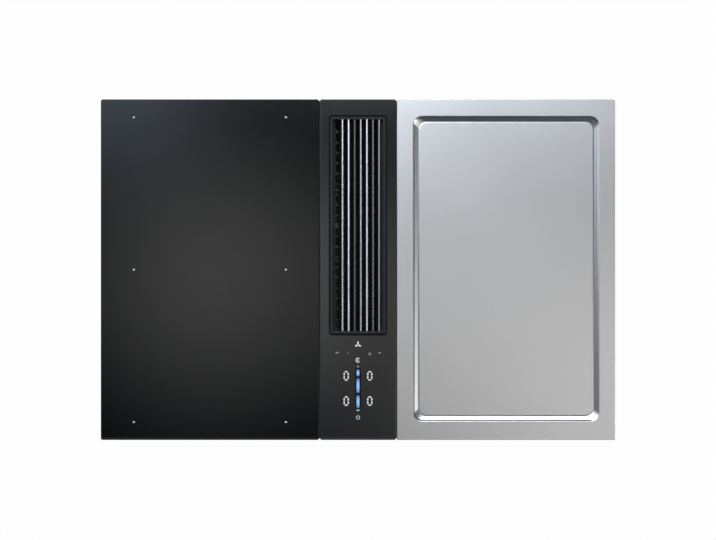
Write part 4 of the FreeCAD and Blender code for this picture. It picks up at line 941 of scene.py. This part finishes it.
def mill_aluminium():
    """Rolled aluminium as it leaves the mill, with long rolling lines."""
    material, tree, shader, place = new_finish("mill_finish_aluminium", "#D2D4D6", 0.35, 1.0)
    lines = grain(tree, place, 0.8, 3, stretch=(1, 80, 1))
    mottle(tree, shader, lines, "#C7C9CB", "#DADCDE")
    vary_roughness(tree, shader, lines, 0.28, 0.42)
    emboss(tree, shader, lines, 0.01)
    return material


def oxidised_sheath():
    """Heater sheath: steel oxidised dark, with straw and blue heat tints."""
    material, tree, shader, place = new_finish("oxidised_heater_sheath", "#5A5450", 0.5, 1.0)
    mottle(tree, shader, grain(tree, place, 18, 3), "#3F3D42", "#75665A")
    vary_roughness(tree, shader, grain(tree, place, 3), 0.42, 0.6)
    emboss(tree, shader, grain(tree, place, 0.7), 0.02)
    return material


def motor_paint():
    """Baked grey enamel on a rolled motor can."""
    material, tree, shader, place = new_finish("baked_grey_motor_enamel", "#7C7D80", 0.45)
    mottle(tree, shader, grain(tree, place, 20), "#747578", "#838487")
    emboss(tree, shader, grain(tree, place, 1.2), 0.02)
    return material


print("metal finishes defined")

# %% Plastics, rubber and minerals
def moulded_plastic(name, dark, light, roughness, texture_mm=0.8, texture_depth=0.03):
    """Injection moulded plastic with the spark-eroded texture of its mould."""
    material, tree, shader, place = new_finish(name, light, roughness)
    texture = grain(tree, place, texture_mm, 3)
    mottle(tree, shader, grain(tree, place, 40, 2), dark, light)
    vary_roughness(tree, shader, texture, roughness - 0.06, roughness + 0.08)
    emboss(tree, shader, texture, texture_depth)
    return material


def foam_rubber():
    """Closed-cell foam: matt black with burst cells along the cut sides."""
    material, tree, shader, place = new_finish("closed_cell_foam_rubber", "#1D1D1E", 0.9)
    cells = add_node(tree, "ShaderNodeTexVoronoi", {"Vector": place, "Scale": 1 / mm(0.9)})
    mottle(tree, shader, cells.outputs["Distance"], "#141415", "#29292B")
    emboss(tree, shader, cells.outputs["Distance"], 0.15)
    return material


def mica():
    """Pressed mica: pale gold flakes that glitter a little."""
    material, tree, shader, place = new_finish("pressed_mica", "#C9BFA2", 0.45)
    tone = cell_tone(tree, place, 3)
    mottle(tree, shader, tone, "#B3A684", "#DAD2B8")
    vary_roughness(tree, shader, tone, 0.3, 0.6)
    return material


RINGS_PER_SCALE = 3


def litz_copper():
    """Litz strands 1.6 mm thick; a wave pattern draws about three rings per unit of its scale."""
    material, tree, shader, place = new_finish("enamelled_copper_litz", "#B4683A", 0.35, 1.0)
    scale = 1 / mm(1.6) / RINGS_PER_SCALE
    turns = add_node(tree, "ShaderNodeTexWave", {"Vector": place, "Scale": scale, "Distortion": 2.0},
                     wave_type="RINGS", rings_direction="Z")
    mottle(tree, shader, turns.outputs["Fac"], "#7E4424", "#C9794A")
    emboss(tree, shader, turns.outputs["Fac"], 0.3)
    return material


def circuit_board():
    """Solder mask over copper tracks and pads."""
    material, tree, shader, place = new_finish("green_solder_mask_board", "#1E6B3A", 0.35)
    tracks = add_node(tree, "ShaderNodeTexBrick", {"Vector": place, "Scale": 1 / mm(24), "Mortar Size": 0.012})
    pads = add_node(tree, "ShaderNodeTexVoronoi", {"Vector": place, "Scale": 1 / mm(4)},
                    feature="DISTANCE_TO_EDGE")
    tone = calculate(tree, "ADD", tracks.outputs["Fac"], pads.outputs["Distance"])
    mottle(tree, shader, tone, "#175A30", "#3E9A5C")
    emboss(tree, shader, tracks.outputs["Fac"], 0.05)
    return material


def ceramic_fibre():
    """Board of matted ceramic fibres, off-white and soft."""
    material, tree, shader, place = new_finish("ceramic_fibre_board", "#E3DFD3", 0.95)
    fibres = grain(tree, place, 1.0, 4, stretch=(8, 1, 1))
    mottle(tree, shader, fibres, "#D3CDBD", "#EEEBE2")
    emboss(tree, shader, fibres, 0.3)
    return material


print("other finishes defined")

# %% Dress every solid
FINISHES = {
    "seal_rubber": foam_rubber(),
    "joint_rubber": moulded_plastic("extruded_black_rubber", "#0B0B0C", "#141415", 0.7, 1.0, 0.02),
    "galvanised_sheet": galvanised_sheet(),
    "zinc_screw": zinc_plate(),
    "spring_steel": drawn_steel("blued_spring_steel", "#7E8287", 0.36, 0.5),
    "black_glass": zone_glass,
    "mica": mica(),
    "copper_litz": litz_copper(),
    "white_plastic": moulded_plastic("white_glass_filled_plastic", "#D3D2CB", "#E4E3DD", 0.5),
    "ferrite": moulded_plastic("sintered_ferrite", "#2B2B2D", "#3A3A3D", 0.6, 0.5, 0.05),
    "aluminium_sheet": mill_aluminium(),
    "black_plastic": moulded_plastic("black_glass_filled_plastic", "#1B1C1E", "#262729", 0.5),
    "grey_plastic": moulded_plastic("grey_abs", "#77797C", "#85878A", 0.45),
    "circuit_board": circuit_board(),
    "component_plastic": moulded_plastic("blue_component_shell", "#2B3C73", "#35498A", 0.35, 1.5, 0.01),
    "motor_steel": motor_paint(),
    "shaft_steel": drawn_steel("ground_shaft_steel", "#B9BBBD", 0.28, 0.4),
    "black_painted_steel": black_coat,
    "filter_metal": moulded_plastic("black_anodised_filter_mesh", "#0E0E0F", "#151516", 0.5, 0.5, 0.01),
    "griddle_steel": griddle_steel,
    "element_sheath": oxidised_sheath(),
    "fibre_board": ceramic_fibre(),
    "display_module": moulded_plastic("dark_display_shell", "#19191B", "#232326", 0.3, 1.0, 0.01),
    "light_guide": moulded_plastic("frosted_light_guide", "#C6D3DE", "#DFE8EF", 0.4, 1.0, 0.01),
}

sub_parts = frame["record"]["subparts"]
for sub_part in sub_parts:
    node = frame["nodes"][sub_part["node"]]
    finish = FINISHES[sub_part["material_slot"]]
    if not node.material_slots:
        node.data.materials.append(finish)
    for material_slot in node.material_slots:
        material_slot.material = finish
print(len(sub_parts), "nodes dressed")

# %% [markdown]
# ## Floor
# The photograph has a plain white ground. The floor is one large sheet of matt white,
# and a share of pure white is mixed in for what the camera, mirrors and glass see of
# it, so it reads as white while the rest still takes the object's soft shadow.

# %% Floor
FLOOR_SIZE = 14.0
FLOOR_GAP = mm(0.2)
WHITE_SHARE = 0.97


def white_floor():
    """Large matt white floor just under the lowest solid."""
    material, tree, shader, place = new_finish("matt_white_floor", "#F2F2F2", 0.9)
    mottle(tree, shader, grain(tree, place, 400), "#F0F0F0", "#F4F4F4")
    path = add_node(tree, "ShaderNodeLightPath").outputs
    seen = path["Is Camera Ray"]
    for kind in ("Is Glossy Ray", "Is Transmission Ray"):
        seen = calculate(tree, "MAXIMUM", seen, path[kind])
    share = calculate(tree, "MULTIPLY", seen, WHITE_SHARE)
    white = add_node(tree, "ShaderNodeEmission", {"Color": (1, 1, 1, 1), "Strength": 1.0}).outputs[0]
    mix = add_node(tree, "ShaderNodeMixShader", {0: share, 1: shader.outputs[0], 2: white}).outputs[0]
    tree.links.new(mix, tree.nodes["Material Output"].inputs["Surface"])
    bm = bmesh.new()
    place = Matrix.Translation((0, 0, cad_box[0][2] - FLOOR_GAP))
    bmesh.ops.create_grid(bm, x_segments=2, y_segments=2, size=FLOOR_SIZE / 2, matrix=place)
    floor = new_object(bm, "floor", material)


white_floor()
print("floor ready")

# %% [markdown]
# ## Light
# Glass and steel show their surroundings more than themselves, so the surroundings are
# made first: a studio sky whose light changes softly with direction. Each of its fields
# is a spherical gradient on a plane as high above the deck as the camera is, so a flat
# pane mirrors a field right under its place. Two strong fields lie behind the deck, and
# the satin steel blurs them into a light back edge. The ramps of the groove are tilted
# by about 14 degrees, so they mirror three fields that lie far out. Towards the horizon
# the sky is a plain pale grey, and the camera itself sees white.

# %% Studio sky
CEILING = 3.0
LOWEST_RISE = 0.02
SKY_FIELDS = (
    # across, back, radius, strength, colour
    (-0.22, 0.00, 0.32, 1.08, "#FFFFFA"),  # middle of the left pane
    (-0.38, 0.31, 0.26, 1.46, "#D3E8FF"),  # cooler back left corner of that pane
    (0.19, -0.07, 0.35, 0.49, "#FFF8E8"),  # left half of the plate
    (0.00, 0.81, 0.62, 9.00, "#EDF6FF"),   # behind the centre pane
    (-0.46, 0.87, 0.69, 8.20, "#F2F4FF"),  # behind the left pane
    (0.50, -0.26, 0.48, 1.50, "#FFFCF8"),  # front right of the plate
    (0.25, 1.50, 0.75, 1.70, "#FFFFFF"),   # ramp of the front channel
    (1.70, -0.62, 0.70, 7.00, "#FFFFFF"),  # ramp of the left channel
    (-1.20, 0.58, 0.60, 2.40, "#D6E6FF"),  # ramp of the right channel
)
SKY_BASE = "#3D444B"
HORIZON = 0.85
HORIZON_BAND = (0.3, 0.7)
WHITE = (1, 1, 1, 1)


def place_overhead(tree, direction, rise):
    """Where a direction meets the plane overhead, in metres from the point straight above."""
    height = calculate(tree, "MAXIMUM", rise, LOWEST_RISE)
    divisor = add_node(tree, "ShaderNodeCombineXYZ", {0: height, 1: height, 2: 1.0}).outputs[0]
    slope = add_node(tree, "ShaderNodeVectorMath", {0: direction, 1: divisor}, operation="DIVIDE").outputs[0]
    metres = add_node(tree, "ShaderNodeVectorMath", {0: slope, 1: (CEILING, CEILING, 0)}, operation="MULTIPLY")
    return metres.outputs[0]


def add_field(tree, overhead, light_so_far, across, back, radius, strength, colour):
    """Add one soft round field to the light so far."""
    scale = (1 / radius, 1 / radius, 1)
    shift = (-across / radius, -back / radius, 0)
    move = add_node(tree, "ShaderNodeMapping", {"Vector": overhead, "Scale": scale, "Location": shift})
    ball = add_node(tree, "ShaderNodeTexGradient", {"Vector": move.outputs[0]}, gradient_type="SPHERICAL")
    soft = add_node(tree, "ShaderNodeMapRange", {"Value": ball.outputs["Fac"]}, interpolation_type="SMOOTHSTEP")
    light = [channel * strength for channel in linear(colour)[:3]] + [1.0]
    total = add_node(tree, "ShaderNodeMix", {"Factor": soft.outputs[0], "A": light_so_far, "B": light},
                     data_type="RGBA", blend_type="ADD")
    return total.outputs["Result"]


def studio_sky():
    """World light: soft fields overhead and a plain pale horizon; white for the camera."""
    world = bpy.data.worlds.new("studio_sky")
    bpy.context.scene.world = world
    world.use_nodes = True
    tree = world.node_tree
    direction = add_node(tree, "ShaderNodeTexCoord").outputs["Generated"]
    rise = add_node(tree, "ShaderNodeSeparateXYZ", {0: direction}).outputs[2]
    overhead = place_overhead(tree, direction, rise)
    light = linear(SKY_BASE)
    for field in SKY_FIELDS:
        light = add_field(tree, overhead, light, *field)
    lowest, highest = HORIZON_BAND
    band = {"Value": rise, "From Min": lowest, "From Max": highest, "To Min": 1.0, "To Max": 0.0}
    near_horizon = add_node(tree, "ShaderNodeMapRange", band, interpolation_type="SMOOTHSTEP")
    sky = blend(tree, near_horizon.outputs[0], light, (HORIZON, HORIZON, HORIZON, 1))
    seen = add_node(tree, "ShaderNodeLightPath").outputs["Is Camera Ray"]
    background = tree.nodes["Background"]
    tree.links.new(blend(tree, seen, sky, WHITE), background.inputs["Color"])
    background.inputs["Strength"].default_value = 1.0


studio_sky()
print("sky ready with", len(SKY_FIELDS), "fields")

# %% [markdown]
# Two soft boxes give the edges their highlights and the sides their light. The one at
# the front right isn't mirrored, because the steel would show it as a blown-out patch
# from low behind.

# %% Soft lamps
def soft_lamp(name, place, size, watts, colour="#FFFFFF", mirrored=True):
    """Square soft box that points at the middle of the deck; metal and glass show it when mirrored."""
    data = bpy.data.lights.new(name, "AREA")
    data.shape = "SQUARE"
    data.size = size
    data.energy = watts
    data.color = linear(colour)[:3]
    lamp = bpy.data.objects.new(name, data)
    lamp.location = place
    lamp.rotation_euler = (Vector((0, 0, 0)) - Vector(place)).to_track_quat("-Z", "Y").to_euler()
    lamp.visible_camera = False
    lamp.visible_glossy = mirrored
    bpy.context.scene.collection.objects.link(lamp)


soft_lamp("soft_box_back_left", place=(-1.8, 2.0, 2.6), size=3.8, watts=48, colour="#F2F6FF")
soft_lamp("soft_box_front_right", place=(2.2, -1.6, 1.8), size=2.6, watts=28, mirrored=False)
print("lamps ready")

# %% [markdown]
# ## Camera
# The photograph looks straight down from far away, with no visible perspective. The
# camera hangs 3 m above the deck, and its focal length follows from the width of the
# picture on the deck: 716 pixels of 1.526 mm.

# %% Camera
PICTURE_PIXELS = 716
PIXEL = mm(1.526)
CAMERA_HEIGHT = 3.0
CAMERA_Y = mm(-0.5)
SENSOR = 36.0


def overhead_camera():
    """Camera straight above the deck, with the back of the cooktop up in the picture."""
    data = bpy.data.cameras.new("overhead_camera")
    data.sensor_width = SENSOR
    data.lens = SENSOR * CAMERA_HEIGHT / (PICTURE_PIXELS * PIXEL)
    data.clip_end = 50.0
    camera = bpy.data.objects.new("overhead_camera", data)
    camera.location = (0, CAMERA_Y, deck_top + CAMERA_HEIGHT)
    bpy.context.scene.collection.objects.link(camera)
    bpy.context.scene.camera = camera
    print("lens", round(data.lens, 1), "mm")


overhead_camera()
bpy.context.scene.view_settings.view_transform = "Standard"
